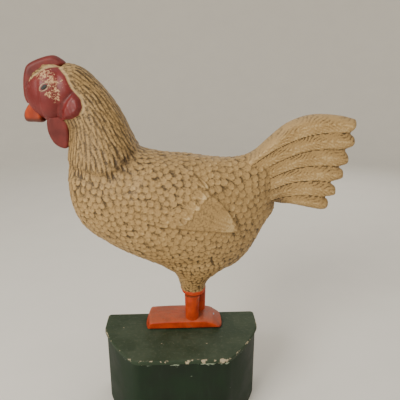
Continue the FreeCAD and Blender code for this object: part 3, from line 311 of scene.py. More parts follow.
def lofted(table, steps=6, around=48):
    """Points and faces of a closed form through a table of sections, in mm."""
    rows = curve_through([(*low, *high, half) for low, high, half in table], steps)
    turn = np.linspace(0, 2 * math.pi, around, endpoint=False)
    along, across = (np.sign(f) * np.abs(f) ** (2 / FULLNESS)
                     for f in (np.cos(turn), np.sin(turn)))
    points, faces = [], []
    for x0, z0, x1, z1, half in rows:
        for a, c in zip(along, across):
            points.append(((x0 + x1) / 2 + (x1 - x0) / 2 * a, half * c,
                           (z0 + z1) / 2 + (z1 - z0) / 2 * a))
    count = len(rows)
    for k in range(count - 1):
        a, b = k * around, (k + 1) * around
        for j in range(around):
            n = (j + 1) % around
            faces.append((a + j, a + n, b + n, b + j))
    faces.append(tuple(range(around))[::-1])
    faces.append(tuple((count - 1) * around + j for j in range(around)))
    return points, faces


def faces_between_poles(rings, around):
    """The faces of a closed form: a first point, rings of points and a last point."""
    faces, last = [], 1 + (rings - 1) * around
    for j in range(around):
        n = (j + 1) % around
        faces.append((0, 1 + n, 1 + j))
        for a in range(1, last, around):
            b = a + around
            faces.append((a + j, a + n, b + n, b + j))
        faces.append((last + j, last + n, last + around))
    return faces


def egg(centre, radii, rings=24, around=48):
    """Points and faces of an ellipsoid, in mm."""
    points = [(centre[0], centre[1], centre[2] - radii[2])]
    for k in range(1, rings):
        up = math.pi * k / rings
        for j in range(around):
            turn = 2 * math.pi * j / around
            points.append((centre[0] + radii[0] * math.sin(up) * math.cos(turn),
                           centre[1] + radii[1] * math.sin(up) * math.sin(turn),
                           centre[2] - radii[2] * math.cos(up)))
    points.append((centre[0], centre[1], centre[2] + radii[2]))
    return points, faces_between_poles(rings - 1, around)


print("sections:", len(TORSO), "in the trunk,", len(NECK), "in the neck,", len(THIGH),
      "in the thighs")

# %% [markdown]
# A mesh is handled here as plain arrays of points in millimetres, which is the quickest way
# to move a hundred thousand points by a rule. A few helpers turn arrays to meshes and back,
# wrap a mesh in an even skin, and relax it without letting it shrink.

# %% Arrays to meshes and back
def piece_from(name, points, faces):
    mesh = bpy.data.meshes.new(name)
    mesh.from_pydata([tuple(p) for p in np.asarray(points, float) * MM], [], faces)
    piece = bpy.data.objects.new(name, mesh)
    bpy.context.scene.collection.objects.link(piece)
    return piece


def joined(forms):
    """Several (points, faces) as one."""
    points, faces = [], []
    for more_points, more_faces in forms:
        start = len(points)
        points.extend(more_points)
        faces.extend(tuple(i + start for i in face) for face in more_faces)
    return points, faces


def with_modifier(piece, kind, **settings):
    """The piece's mesh after one modifier, which isn't left on it."""
    modifier = piece.modifiers.new(kind.lower(), kind)
    for key, value in settings.items():
        setattr(modifier, key, value)
    evaluated = piece.evaluated_get(bpy.context.evaluated_depsgraph_get())
    mesh = bpy.data.meshes.new_from_object(evaluated)
    piece.modifiers.clear()
    piece.data = mesh
    return piece


def points_of(mesh):
    values = np.empty(len(mesh.vertices) * 3)
    mesh.vertices.foreach_get("co", values)
    return values.reshape(-1, 3) / MM


def set_points(mesh, points):
    mesh.vertices.foreach_set("co", (points * MM).ravel())
    mesh.update()


def normals_of(mesh):
    values = np.empty(len(mesh.vertices) * 3, np.float32)
    mesh.vertex_normals.foreach_get("vector", values)
    return values.reshape(-1, 3).astype(float)


def relaxed(mesh, points, rounds, share=None, back=-0.57):
    """Points drawn towards their neighbours and back again, which smooths without shrinking;
    with no pull back it fills a notch."""
    ends = np.empty(len(mesh.edges) * 2, np.int32)
    mesh.edges.foreach_get("vertices", ends)
    a, b = ends.reshape(-1, 2).T
    count = np.bincount(a, minlength=len(points)) + np.bincount(b, minlength=len(points))
    share = 1.0 if share is None else share[:, None]
    for _ in range(rounds):
        for pull in (0.55, back) if back else (0.55,):
            total = np.stack([np.bincount(a, points[b, k], len(points))
                              + np.bincount(b, points[a, k], len(points)) for k in range(3)], 1)
            points = points + pull * share * (total / count[:, None] - points)
    return points


def keep_values(mesh, **named):
    """Stores numbers for each point, for the finish to read."""
    for name, values in named.items():
        attribute = mesh.attributes.new(name, "FLOAT", "POINT")
        attribute.data.foreach_set("value", np.asarray(values, np.float32))


def smooth_step(value):
    value = np.clip(value, 0, 1)
    return value * value * (3 - 2 * value)


def depth_inside(points, outline):
    """How far each point is inside a closed outline in the side view; outside is negative."""
    x, z = points[:, 0], points[:, 2]
    corners = np.asarray(outline, float)
    nearest, inside = np.full(len(points), np.inf), np.zeros(len(points), bool)
    for (x0, z0), (x1, z1) in zip(corners, np.roll(corners, -1, 0)):
        dx, dz = x1 - x0, z1 - z0
        t = np.clip(((x - x0) * dx + (z - z0) * dz) / (dx * dx + dz * dz), 0, 1)
        nearest = np.minimum(nearest, np.hypot(x - x0 - t * dx, z - z0 - t * dz))
        crosses = (z0 > z) != (z1 > z)
        with np.errstate(divide="ignore", invalid="ignore"):
            inside ^= crosses & (x < dx * (z - z0) / (dz if dz else 1e-9) + x0)
    return np.where(inside, nearest, -nearest)


print("helpers for arrays are ready")

# %% Wrap and smooth the skin
SKIN_VOXEL = 0.76
hen = piece_from("hen_skin", *joined([lofted(TORSO), lofted(NECK), lofted(THIGH),
                                      egg(HEAD_AT, HEAD_RADII)]))
with_modifier(hen, "REMESH", mode="VOXEL", voxel_size=SKIN_VOXEL * MM)
skin = points_of(hen.data)
skin = relaxed(hen.data, skin, 10)
distance_to_crease = np.minimum(
    np.abs(skin[:, 2] - 150) + 0.2 * np.abs(skin[:, 0]),
    np.hypot(skin[:, 0] + 36, skin[:, 2] - 250) * 0.8)
skin = relaxed(hen.data, skin, 40, smooth_step(1.25 - distance_to_crease / 34))
notches = sum(np.exp(-((skin[:, 0] - x) ** 2 + (skin[:, 2] - z) ** 2) / reach ** 2)
              for x, z, reach in ((-30, 150, 17), (52, 148, 14), (-32, 250, 13), (30, 122, 6)))
skin = relaxed(hen.data, skin, 150, np.clip(notches, 0, 1), back=0.0)
cheeks = np.exp(-((skin[:, 0] + 99) ** 2 + (skin[:, 2] - 292) ** 2) / 19 ** 2)
skin = relaxed(hen.data, skin, 70, smooth_step(1.6 * cheeks), back=-0.5)
set_points(hen.data, skin)
print("the skin has", len(skin), "points")

# %% [markdown]
# ## The lie of the feathers
# A mould maker cuts feathers in zones: long narrow hackles on the neck, small round scales on
# the breast, bigger ones on the rump, tiny ones on the thigh. The table gives, at a few places
# in the side view, which way the feathers point (degrees above straight back), how long and
# wide one is, and how deep the cut is. Every point of the skin takes a mix of the nearest
# rows, so the plumage changes smoothly from one zone to the next.

# %% Feather zones
ZONES = (
    # x, z, direction, length, width, depth, all but the direction in mm
    (-88, 322, -15, 8, 3.2, 0.5), (-74, 312, -38, 16.8, 3.2, 0.73),
    (-78, 300, -55, 16.8, 3.2, 0.73), (-62, 290, -57, 19.6, 3.4, 0.95),
    (-76, 279, -66, 19.6, 3.4, 0.95), (-55, 281, -60, 19.6, 3.4, 0.84),
    (-90, 262, -84, 19.6, 3.5, 0.84), (-70, 258, -74, 21, 3.7, 1.1),
    (-48, 262, -64, 19.6, 3.7, 0.95), (-84, 248, -84, 19.6, 3.7, 0.95),
    (-60, 247, -80, 21, 3.9, 1.2), (-46, 252, -88, 19.6, 3.9, 1.2), (-36, 255, -40, 10, 4.8, 0.7),
    (-94, 229, -88, 8.5, 5.6, 0.8), (-74, 227, -84, 8.5, 5.6, 0.8),
    (-60, 229, -80, 8.5, 5.6, 0.8), (-82, 206, -70, 8.5, 5.8, 0.8), (-61, 208, -62, 9, 6.0, 0.8),
    (-65, 190, -46, 9, 6.2, 0.8), (-48, 196, -40, 9, 6.4, 0.8), (-41, 180, -28, 9, 6.6, 0.7),
    (-38, 163, -22, 9, 6.2, 0.6), (-36, 240, -35, 8, 5.8, 0.9), (-22, 240, -24, 8.5, 6.2, 0.9),
    (-32, 222, -45, 8.5, 6.2, 1.1), (-14, 230, -30, 9, 6.6, 1.1), (-4, 222, -34, 9.5, 6.8, 1.2),
    (-22, 208, -38, 9.5, 6.8, 1.2), (-14, 252, -12, 8.5, 6.2, 0.8), (8, 249, -15, 9, 6.8, 0.8),
    (30, 246, -16, 9.5, 7.4, 0.9), (52, 247, 6, 9.5, 7.4, 0.8), (24, 236, -38, 10, 7.6, 1.0),
    (40, 226, -42, 10.5, 8.2, 1.1), (56, 232, -32, 10.5, 8.2, 1.1), (55, 212, -46, 11, 8.4, 1.1),
    (66, 198, -58, 10.5, 8.0, 1.0), (76, 215, -45, 10.5, 8.0, 1.0), (57, 180, -76, 10, 7.4, 0.9),
    (-26, 186, -16, 9.5, 7.2, 0.8), (-4, 182, -22, 9.5, 7.2, 0.8), (17, 178, -40, 9, 6.8, 0.8),
    (39, 175, -80, 9, 6.6, 0.8), (58, 164, -96, 9, 6.4, 0.7), (-14, 164, -30, 8.5, 6.2, 0.7),
    (7, 160, -62, 7.5, 5.6, 0.7), (29, 158, -92, 8, 5.6, 0.7), (47, 150, -112, 8, 5.6, 0.6),
    (-6, 146, -52, 6.5, 5.0, 0.6), (13, 144, -82, 6.5, 4.8, 0.6), (6, 128, -84, 5.5, 4.2, 0.55),
    (22, 128, -96, 5.5, 4.2, 0.55), (12, 112, -88, 5.5, 4.2, 0.4),
)


def feather_lie(points):
    """The direction in the side view, the length, the width and the depth at each point."""
    table = np.asarray(ZONES, float)
    angle = np.radians(table[:, 2])
    rows = np.column_stack((np.cos(angle), np.sin(angle), table[:, 3:]))
    gap = ((points[:, None, 0] - table[:, 0]) ** 2 + (points[:, None, 2] - table[:, 1]) ** 2)
    weight = 1 / (gap + 12) ** 2
    mixed = weight @ rows / weight.sum(1, keepdims=True)
    return mixed[:, :2], mixed[:, 2], mixed[:, 3], mixed[:, 4]


lie, feather_long, feather_wide, feather_deep = feather_lie(skin)
print(len(ZONES), "zones; feathers from", round(feather_wide.min(), 1), "to",
      round(feather_wide.max(), 1), "mm wide")

# %% [markdown]
# ## Forms that stand on the skin
# Four low forms lie on the smooth body before any feather is cut: the folded wing, with a
# crisp lower edge and a soft shoulder; the hackle cape, which overhangs the breast; the bare
# face, a smooth raised disc; and the ear lobe behind it. Each is an outline in the side view,
# and a point rises by how far inside it lies. The outlines are used on both sides alike.

# %% Wing, cape and face
WING = ((-40, 238), (-43, 222), (-39, 206), (-30, 197.5), (-15, 193), (6, 190), (28, 186.5),
        (51, 181.5), (48, 192), (42, 203), (34, 213), (23, 223), (14, 235), (4, 245), (-12, 249),
        (-28, 247))
CAPE = ((-110, 246), (-90, 243), (-78, 239), (-64, 236.5), (-53, 239), (-46, 244), (-41, 251),
        (-30, 258), (-30, 300), (-60, 330), (-110, 330))
FACE = ((-109.5, 316), (-102.5, 319), (-95.5, 319), (-89.5, 313), (-85.5, 304), (-82, 300),
        (-78, 295), (-77, 289), (-80, 283), (-85.5, 280), (-92.5, 279), (-99, 274), (-112, 270),
        (-128, 276), (-130, 300), (-121, 308), (-116.5, 312))
EAR = ((-84, 301), (-78, 295), (-77, 289), (-80, 283), (-86, 280), (-92, 280), (-93, 286),
       (-89, 295))
CHEEK_LINE = ((-84, 301), (-93, 293), (-96, 281), (-95, 281), (-92, 293))

sideways = smooth_step((np.abs(normals_of(hen.data)[:, 1]) - 0.15) / 0.35)
in_wing, in_cape = depth_inside(skin, WING), depth_inside(skin, CAPE)
in_face, in_ear = depth_inside(skin, FACE), depth_inside(skin, EAR)
wing_slope = (1.6 + 9 * smooth_step((skin[:, 2] - 216) / 18) * smooth_step((12 - skin[:, 0]) / 10)
              + 7 * smooth_step((-24 - skin[:, 0]) / 14))
raised = 2.6 * sideways * smooth_step(in_wing / wing_slope)
raised += 1.1 * smooth_step(0.5 + in_cape / 3.0) * smooth_step(1.4 - in_cape / 24) - 0.5
bare_face = smooth_step(0.5 + in_face / 1.2)
raised += bare_face * (0.5 + 0.9 * smooth_step(in_face / 3.5))
raised += 1.8 * sideways * smooth_step(in_ear / 3.0)
cheek = np.exp(-((skin[:, 0] + 103) ** 2 + (skin[:, 2] - 289) ** 2) / 60)
raised += 1.1 * sideways * cheek
groove = np.exp(-(depth_inside(skin, CHEEK_LINE) / 2.2) ** 2)
raised -= 0.9 * sideways * bare_face * groove
print("wing", int((in_wing > 0).sum()), "points, face", int((in_face > 0).sum()), "points")

# %% [markdown]
# ## Cutting the feathers
# Feathers could be separate leaves laid on the body, but this hen came out of a mould: its
# feathers are shallow steps in one surface. So each feather is pressed into the skin as a
# stamp. Stamps are dealt out from head to tail, each closing the ground round it so that they
# stagger like roof tiles. A stamp rises from its root to a rounded tip and drops sharply past
# it, and where two overlap the higher one shows.

# %% Press stamps into a skin
class Relief:
    """The heights pressed into a mesh by feather stamps."""

    def __init__(self, points, normals):
        self.points, self.normals = points, normals
        self.height, self.crease = np.zeros(len(points)), np.zeros(len(points))
        self.tone = np.zeros(len(points))
        self.tree = KDTree(len(points))
        for i, p in enumerate(points):
            self.tree.insert(p, i)
        self.tree.balance()

    def around(self, i, reach, direction):
        """The points near point i, with how far along and across the feather they lie."""
        found = np.array([hit[1] for hit in self.tree.find_range(self.points[i], reach)], int)
        normal = self.normals[i]
        found = found[self.normals[found] @ normal > 0.25]
        ahead = direction - normal * (direction @ normal)
        ahead /= max(np.linalg.norm(ahead), 1e-6)
        offset = self.points[found] - self.points[i]
        return found, offset @ ahead, offset @ np.cross(normal, ahead)

    def press(self, i, direction, length, width, depth, tone, pointed=0.0, rim=0.0):
        """One feather: a ramp up to a rounded or pointed tip, domed across."""
        found, along, across = self.around(i, 0.56 * length + 0.5 * width, direction)
        u, v = along / length + 0.5, np.abs(across) / (width / 2)
        tip = np.clip((u - 0.55) / 0.45, 0, None)
        inside = 1 - np.where(tip > 0, (1 - pointed) * np.hypot(tip, v) + pointed * (tip + v), v)
        shape = smooth_step(inside * width / 2 / 0.85) * (u > 0)
        rise = (0.18 + 0.82 * np.clip(u, 0, 1)) * (1 - 0.30 * v * v)
        rise += rim * np.exp(-((inside * width / 2 - 1.1) / 0.55) ** 2)
        lift = shape * rise
        higher = lift * depth > self.height[found]
        chosen = found[higher]
        self.height[chosen] = (lift * depth)[higher]
        self.crease[chosen] = lift[higher]
        self.tone[chosen] = tone


def deal_out(relief, lie, length, width, free, seed, order):
    """The points where feathers go: each closes an ellipse of ground round it."""
    closed = ~free
    chosen = []
    for i in np.argsort(order + np.random.default_rng(seed).normal(0, 0.8, len(order))):
        if closed[i]:
            continue
        chosen.append(i)
        direction = np.array((lie[i, 0], 0.0, lie[i, 1]))
        found, along, across = relief.around(i, 0.56 * length[i], direction)
        near = (along / (0.56 * length[i])) ** 2 + (across / (0.88 * width[i])) ** 2 < 1
        closed[found[near]] = True
    return chosen


print("the stamps are ready")

# %% Stamp the plumage
HACKLE = 2.6  # a feather this many times as long as wide is a pointed, orderly hackle
chance = np.random.default_rng(7)
relief = Relief(skin, normals_of(hen.data))
WING_TIP = ((0, 194), (14, 209), (22, 221), (33, 213), (42, 203), (48, 192), (51, 181.5),
            (28, 186.5), (6, 190))
smooth_vane = smooth_step(depth_inside(skin, WING_TIP) / 1.2) * (sideways > 0.5)
painted_leg = smooth_step((117.8 - skin[:, 2]) / 1.4)
free = (in_face < -0.5) & (smooth_vane < 0.5) & (painted_leg < 0.5)
places = deal_out(relief, lie, feather_long, feather_wide, free, 3,
                  0.75 * skin[:, 0] - 0.66 * skin[:, 2])
for i in places:
    narrow = feather_long[i] / feather_wide[i]
    swing = math.atan2(lie[i, 1], lie[i, 0]) + chance.normal(0, 0.05 if narrow > HACKLE else 0.13)
    relief.press(i, np.array((math.cos(swing), 0.0, math.sin(swing))),
                 feather_long[i] * chance.uniform(1.0, 1.25),
                 feather_wide[i] * chance.uniform(0.98, 1.22),
                 1.35 * feather_deep[i] * chance.uniform(0.7, 1.2),
                 chance.random(), 0.65 if narrow > HACKLE else 0.0)
print(len(places), "feathers")

# %% [markdown]
# The big wing coverts and the quills of the wing tip are too few and too regular for a table
# of zones. They are placed one by one, from a root to a tip, with the raised rim that the
# mould maker cut round each of them.

# %% Coverts and quills
COVERTS = (
    # root x, z, tip x, z, width, depth, rim
    (-6, 193, 49, 184, 6.5, 0.35, 0.3), (-1, 197, 50, 185.5, 6.5, 0.45, 0.3),
    (5, 203, 50, 187, 7.5, 0.55, 0.3), (10, 212, 49, 189, 9, 0.65, 0.3),
    (14, 221, 46, 193, 11, 0.75, 0.25), (-11, 202, 3, 196, 6, 1.3, 0.3),
    (-7, 210, 9, 200, 7, 1.5, 0.3), (-1, 217, 17, 207, 7.5, 1.7, 0.3),
    (4, 227, 23, 215, 8, 1.9, 0.3), (8, 237, 24, 222, 8, 1.8, 0.3),
    (-20, 203, -8, 198, 6, 1.2, 0.2),
)
for x0, z0, x1, z1, width, depth, rim in COVERTS:
    length = math.hypot(x1 - x0, z1 - z0)
    direction = np.array((x1 - x0, 0.0, z1 - z0)) / length
    for side in (-1, 1):
        gap = np.hypot(skin[:, 0] - (x0 + x1) / 2, skin[:, 2] - (z0 + z1) / 2)
        nearest = int((gap + 1e3 * (skin[:, 1] * side < 5)).argmin())
        relief.press(nearest, direction, length + 2, width, depth, 0.35, 0.15, rim)
print(2 * len(COVERTS), "coverts and quills")

# %% [markdown]
# The heights now move the skin along its normals, and the same numbers are stored for the
# finish. Painted shade lies along the lower edge of the cape, where the cape meets the wing,
# under the ear lobe, under the wing's edge and at the root of the tail. A painted highlight
# runs along the upper edge of the face, and the skin is paler under the comb and at the foot
# of the thighs. The paint of the face is rubbed off round the eye.

# %% Move the skin and store what the finish reads
sunk = (1 - bare_face) * (1 - painted_leg) * (1 - 0.75 * smooth_vane)
pressed = relief.height - (0.85 * feather_deep + 0.2) * sunk
set_points(hen.data, skin + normals_of(hen.data) * (raised + pressed)[:, None])
set_points(hen.data, relaxed(hen.data, points_of(hen.data), 1))


def near_spot(points, x, z, reach):
    return np.exp(-((points[:, 0] - x) ** 2 + (points[:, 2] - z) ** 2) / reach ** 2)


cape_edge = np.exp(-((in_cape + 0.5) / 2.6) ** 2)
behind_face = smooth_step((in_face + 2.6) / 1.2) * smooth_step(-in_face / 0.5)
# Painted shade where shadow falls: under the cape's lower edge, where it meets the wing, under the
# ear lobe, at the root of the tail and under the wing's edge.
stain = (0.35 * cape_edge * (skin[:, 2] > 230) + 0.55 * near_spot(skin, -46, 247, 9)
         + 0.75 * near_spot(skin, -89, 277, 5) + 0.5 * near_spot(skin, -86, 268, 7)
         + 0.9 * near_spot(skin, 84, 202, 6) + 0.3 * near_spot(skin, 76, 214, 7)
         + 0.35 * near_spot(skin, 3, 197, 5))
WORN_SPOTS = (
    # x, z, reach, share
    (-100, 309, 4.5, 1.0), (-96, 301.5, 4.5, 1.0), (-96.5, 295.5, 3.5, 0.9), (-104, 315, 5, 0.9),
    (-109.5, 313, 4.5, 0.8), (-102, 299, 4, 0.9), (-91, 309, 4, 0.6), (-104, 304, 8, 0.35),
)
worn = np.clip(sum(share * near_spot(skin, x, z, reach) for x, z, reach, share in WORN_SPOTS),
               0, 1.15)
# Partly a painted highlight along the upper edge of the face and ear lobe; paler too under the
# comb and at the foot of the thighs.
pale = behind_face * (skin[:, 2] > 284) + 0.5 * near_spot(skin, -100, 322, 9) + 0.6 * (
    smooth_step((115 - skin[:, 2]) / 3))
smooth = np.maximum(smooth_vane * 0.6, painted_leg)
# On the bare face the crease is low only in the cheek groove, which the finish darkens as painted
# shade.
crease = np.where(bare_face > 0.5, 1 - 0.9 * groove, np.maximum(relief.crease, smooth))
keep_values(hen.data, crease=crease, tone=relief.tone, face=bare_face, leg=painted_leg,
            worn=worn, stain=np.clip(stain, 0, 1), pale=np.clip(pale, 0, 1))
print("the deepest step is", round(float(relief.height.max()), 2), "mm")

# %% [markdown]
# The mould has two halves that meet on the middle plane, and so does the hen. The skin is
# cut there and each half is closed, so that each is a solid that could be made alone.

# %% Two halves
def half_of(whole, name, keep_left):
    work = bmesh.new()
    work.from_mesh(whole.data)
    cut = bmesh.ops.bisect_plane(work, geom=work.verts[:] + work.edges[:] + work.faces[:],
                                 plane_co=(0, 0, 0), plane_no=(0, 1, 0), dist=1e-7,
                                 clear_outer=keep_left, clear_inner=not keep_left)
    rim_edges = [e for e in cut["geom_cut"] if isinstance(e, bmesh.types.BMEdge)]
    bmesh.ops.edgeloop_fill(work, edges=[e for e in rim_edges if e.is_boundary])
    bmesh.ops.recalc_face_normals(work, faces=work.faces[:])
    mesh = bpy.data.meshes.new(name)
    work.to_mesh(mesh)
    open_edges = sum(1 for e in work.edges if e.is_boundary)
    work.free()
    half = bpy.data.objects.new(name, mesh)
    bpy.context.scene.collection.objects.link(half)
    mesh.materials.append(painted_composition)
    mesh.shade_smooth()
    print(name, "has", len(mesh.polygons), "faces and", open_edges, "open edges")
    return half


for name, node, keep_left in (("plumage_left", "body_shell_left", True),
                              ("plumage_right", "body_shell_right", False)):
    half = half_of(hen, name, keep_left)
    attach(half, "bird")
    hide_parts(node)
bpy.data.objects.remove(hen)

# %% [markdown]
# ## Flat forms with round edges
# The tail, the comb and the wattles are flat pieces with well rounded edges. Each starts as
# its outline pushed out to a slab and wrapped in an even skin. The slab is then pressed
# thinner towards its outline, like a pillow, which rounds the edge by a chosen radius.

# %% Pillow from an outline
def smooth_outline(outline, steps=5):
    """A closed outline as a smooth closed curve."""
    rows = np.asarray(outline, float)
    around = np.vstack((rows[-2:], rows, rows[:2]))
    return curve_through(around, steps)[2 * steps:-2 * steps][: len(rows) * steps]


def outward(piece):
    """Merges doubles and turns every face outwards."""
    work = bmesh.new()
    work.from_mesh(piece.data)
    bmesh.ops.remove_doubles(work, verts=work.verts[:], dist=1e-6)
    bmesh.ops.recalc_face_normals(work, faces=work.faces[:])
    work.to_mesh(piece.data)
    work.free()
    return piece


def pillow(name, outline, thickness, edge, middle=0.0, voxel=0.8):
    """A slab of the outline whose half thickness is thickness, or thickness(points), with
    edges rounded by edge. It is remeshed thicker, so that thin pieces get even faces too."""
    outline = np.asarray(outline, float)
    count = len(outline)
    half = 12.0
    points = [(x, -half, z) for x, z in outline] + [(x, half, z) for x, z in outline]
    faces = [tuple(range(count)), tuple(range(2 * count - 1, count - 1, -1))]
    faces += [(i, i + count, (i + 1) % count + count, (i + 1) % count) for i in range(count)]
    piece = outward(piece_from(name, points, faces))
    with_modifier(piece, "REMESH", mode="VOXEL", voxel_size=voxel * MM)
    p = points_of(piece.data)
    depth = np.clip(depth_inside(p, outline), 0, edge) / edge
    thick = thickness(p) if callable(thickness) else thickness
    p[:, 1] = middle + p[:, 1] / half * thick * np.sqrt(np.clip(1 - (1 - depth) ** 2, 0.02, 1))
    set_points(piece.data, relaxed(piece.data, p, 6))
    return piece


def finished(piece, material, node, body="bird"):
    """Gives a piece its finish and puts it in the place of its CAD node."""
    piece.data.materials.clear()
    piece.data.materials.append(material)
    piece.data.shade_smooth()
    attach(piece, body)
    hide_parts(node)
    print(piece.name, "has", len(piece.data.polygons), "faces")


# %% [markdown]
# ### The tail
# Six feathers fan out from the rump. The upper ones lie over the lower ones, so each rises
# from its top border to its lower border and steps down there. Fine barbs run from the shaft
# to both borders. The borders are curves from the rump to the notches between the tips, and
# every point of the tail knows between which two it lies.

# %% Tail feathers
TAIL_TOP = ((58, 242), (68.5, 250), (81.5, 262.5), (94.5, 273), (109.5, 279), (123.5, 280.5),
            (140.5, 279), (151, 276.5))
TAIL_TIPS = (((155.5, 271), (150.5, 263.5)), ((155.5, 256), (147.5, 249)),
             ((151.5, 240), (142.5, 233.5)), ((148, 226.5), (137, 219.5)),
             ((142.5, 211), (131.5, 205.5)), ((136.5, 199), (129, 193.5)))
TAIL_LOW = ((117, 196), (101, 199.5), (89, 201), (76, 206), (58, 225))
ROOTS = ((60, 246), (66, 240), (72, 232), (77, 224), (82, 215), (86, 206), (88, 197))


def tail_outline():
    points = list(TAIL_TOP)
    for tip, notch in TAIL_TIPS:
        points += [(tip[0] - 1.2, tip[1] + 4.2), tip, (tip[0] - 1.5, tip[1] - 4), notch]
    return smooth_outline(points + list(TAIL_LOW), 3)


def border(k, x):
    """The height of the k-th border of the fan at x, curved up like the top edge."""
    if k == 0:
        top = np.array(TAIL_TOP, float)
        return np.interp(x, np.append(top[:, 0], 160), np.append(top[:, 1], 274))
    start, end = np.array(ROOTS[k], float), np.array(TAIL_TIPS[k - 1][1], float)
    t = (x - start[0]) / (end[0] - start[0])
    bow = 9 * (1 - k / 6) + 1.5
    return start[1] + (end[1] - start[1]) * t + 4 * bow * t * (1 - np.clip(t, 0, 1.2))


TAIL_HALVES = (55, 70, 100, 130, 158), (15, 12.5, 8.6, 7.0, 5.0)  # half thickness at x
tail = pillow("tail_feathers", tail_outline(), lambda p: np.interp(p[:, 0], *TAIL_HALVES), 5.0)
p, n = points_of(tail.data), normals_of(tail.data)
levels = np.stack([border(k, p[:, 0]) for k in range(7)])
levels[6] = np.minimum(levels[6], levels[5] - 6)
place = np.clip((p[:, 2] < levels[:-1]).sum(0) - 1, 0, 5)
rows = np.arange(len(p))
upper, lower = levels[place, rows], levels[place + 1, rows]
v = np.clip((upper - p[:, 2]) / np.maximum(upper - lower, 1), 0, 1)
along = p[:, 0] + 0.35 * (p[:, 2] - 220)
BARB, BARB_ANGLE = 2.6, math.radians(27)
off_shaft = np.abs(v - 0.5) * (upper - lower)
wander = 0.9 * np.sin(along / 7.3 + place) + 0.7 * np.sin(along / 3.1 + 2 * place + off_shaft / 3)
phase = (along * math.sin(BARB_ANGLE) - off_shaft * math.cos(BARB_ANGLE) + wander) / BARB
strength = 0.62 + 0.38 * np.sin(along / 5.7 + 2.3 * place + off_shaft / 2.1)
barbs = 1 - strength * (1 - np.abs(np.sin(math.pi * phase)) ** 0.8)
shaft = np.exp(-(off_shaft / 0.8) ** 2)
step = 0.72 + 0.28 * v
fade = smooth_step((p[:, 0] - 66) / 12)
falls = smooth_step((1 - v) * (upper - lower) / 1.0)
lift = step * falls * (0.45 + 0.55 * barbs) + 0.15 * shaft
facing = smooth_step((np.abs(n[:, 1]) - 0.2) / 0.4)
set_points(tail.data, p + n * (fade * facing * (1.5 * lift - 1.2))[:, None])
# Painted shade in the gap under the tail's root, and painted shadow along each feather's lower
# border near the tips, where the feather above overlaps it.
gap_stain = 1.0 * near_spot(p, 90, 203, 6) + 0.5 * near_spot(p, 85, 211, 7)
near_tip = smooth_step((p[:, 0] - 128 - 0.1 * (p[:, 2] - 200)) / 22)
tip_stain = 0.85 * near_tip * smooth_step((v - 0.72) / 0.25)
keep_values(tail.data, crease=np.clip(lift * 1.15 - 0.14, 0, 1), tone=(place * 37 % 11) / 11.0,
            face=np.zeros(len(p)), worn=np.zeros(len(p)),
            stain=np.clip(gap_stain + tip_stain, 0, 1),
            pale=0.35 * smooth_step((p[:, 2] - border(0, p[:, 0]) + 9) / 8))
finished(tail, painted_composition, "tail_fan")

# %% [markdown]
# ### Comb and wattles
# The comb is a thick smooth band that wraps the front and the top of the head, without
# points. The wattles are two flat drops that hang under the beak.

# %% Comb and wattles
COMB = ((-91, 322), (-96, 327), (-102, 329), (-112.5, 326.5), (-122, 322), (-125.5, 316),
        (-127.3, 307), (-127.5, 296), (-124.5, 290.5), (-119, 297), (-117, 307), (-110, 315),
        (-99, 317))
WATTLE = ((-103, 284), (-108, 279), (-108.8, 271), (-107.2, 264), (-103.8, 258), (-98.5, 254.6),
          (-94, 254.4), (-91.6, 258.5), (-91, 268), (-93, 279))
comb = pillow("comb_band", smooth_outline(COMB), 5.0, 3.6)
finished(comb, red_enamel, "comb")
for side, name in ((-1, "left"), (1, "right")):
    wattle = pillow("wattle_drop_" + name, smooth_outline(WATTLE), 2.2, 2.6, side * 9.8, 0.6)
    finished(wattle, red_enamel, "wattle_" + name)

# %% [markdown]
# ### Beak
# The beak is a short blunt wedge, deeper than it is wide, with a nearly level lower edge. It is
# a pillow of its side outline too, thick at the face and thin at the tip.

# %% Beak
BEAK = ((-112, 292), (-121, 293), (-125.5, 289), (-128.8, 284), (-129.8, 279.5), (-128, 275.8),
        (-122, 275.2), (-112, 276.4))
BEAK_HALVES = (-130, -127, -120, -112), (2.6, 4.2, 7.0, 8.5)  # half thickness at x
beak = pillow("beak_wedge", smooth_outline(BEAK), lambda p: np.interp(p[:, 0], *BEAK_HALVES),
              4.5, voxel=0.5)
p = points_of(beak.data)
# Painted shade along the lower edge and at the root, where the beak meets the face; the tip is
# darker too.
low_edge, tip = smooth_step((281 - p[:, 2]) / 4), smooth_step((-127.2 - p[:, 0]) / 2.2)
root = smooth_step((p[:, 0] + 116.5) / 4)
keep_values(beak.data, stain=np.clip(low_edge + 0.8 * tip + 0.6 * root, 0, 0.9))
finished(beak, beak_enamel, "beak")

# %% [markdown]
# ### Foot block and thigh plug
# The block is softer than a sawn one: its edges are worn round and thick with paint. It is
# again a pillow of its side outline. The plug that the shell halves are glued to fills the
# thigh from the inside, so it is made from the thigh's own rings, drawn in.

# %% Foot block and thigh plug
BLOCK = ((-34.5, 77.2), (2, 77.2), (39.5, 77.2), (39.5, 79.2), (30.5, 85.6), (22, 87.8), (6, 88),
         (-12, 88), (-29, 87.2), (-31.4, 86))
foot = pillow("foot_block_worn", BLOCK, 15.2, 2.3, voxel=0.7)
finished(foot, orange_enamel, "foot_block")
plug = piece_from("thigh_core", *lofted([((x0 + 4, z0), (x1 - 4, z1), half - 4)
                                         for (x0, z0), (x1, z1), half in THIGH[2:]]))
finished(plug, painted_composition, "thigh_plug")

# %% [markdown]
# ## The eyes
# Each eye is an almond with a raised lid. A lid is a round rim that follows a closed path, so
# Geometry Nodes make it: the path comes in as a curve, Curve to Mesh sweeps a circle along
# it, and its radius and sides are named inputs. The eyeball is a low dome inside the rim.

# %% Where the eyes lie
EYE_AT, EYE_TILT, EYE_LONG, EYE_HIGH = (-105.6, 305.0), math.radians(36), 3.9, 2.1


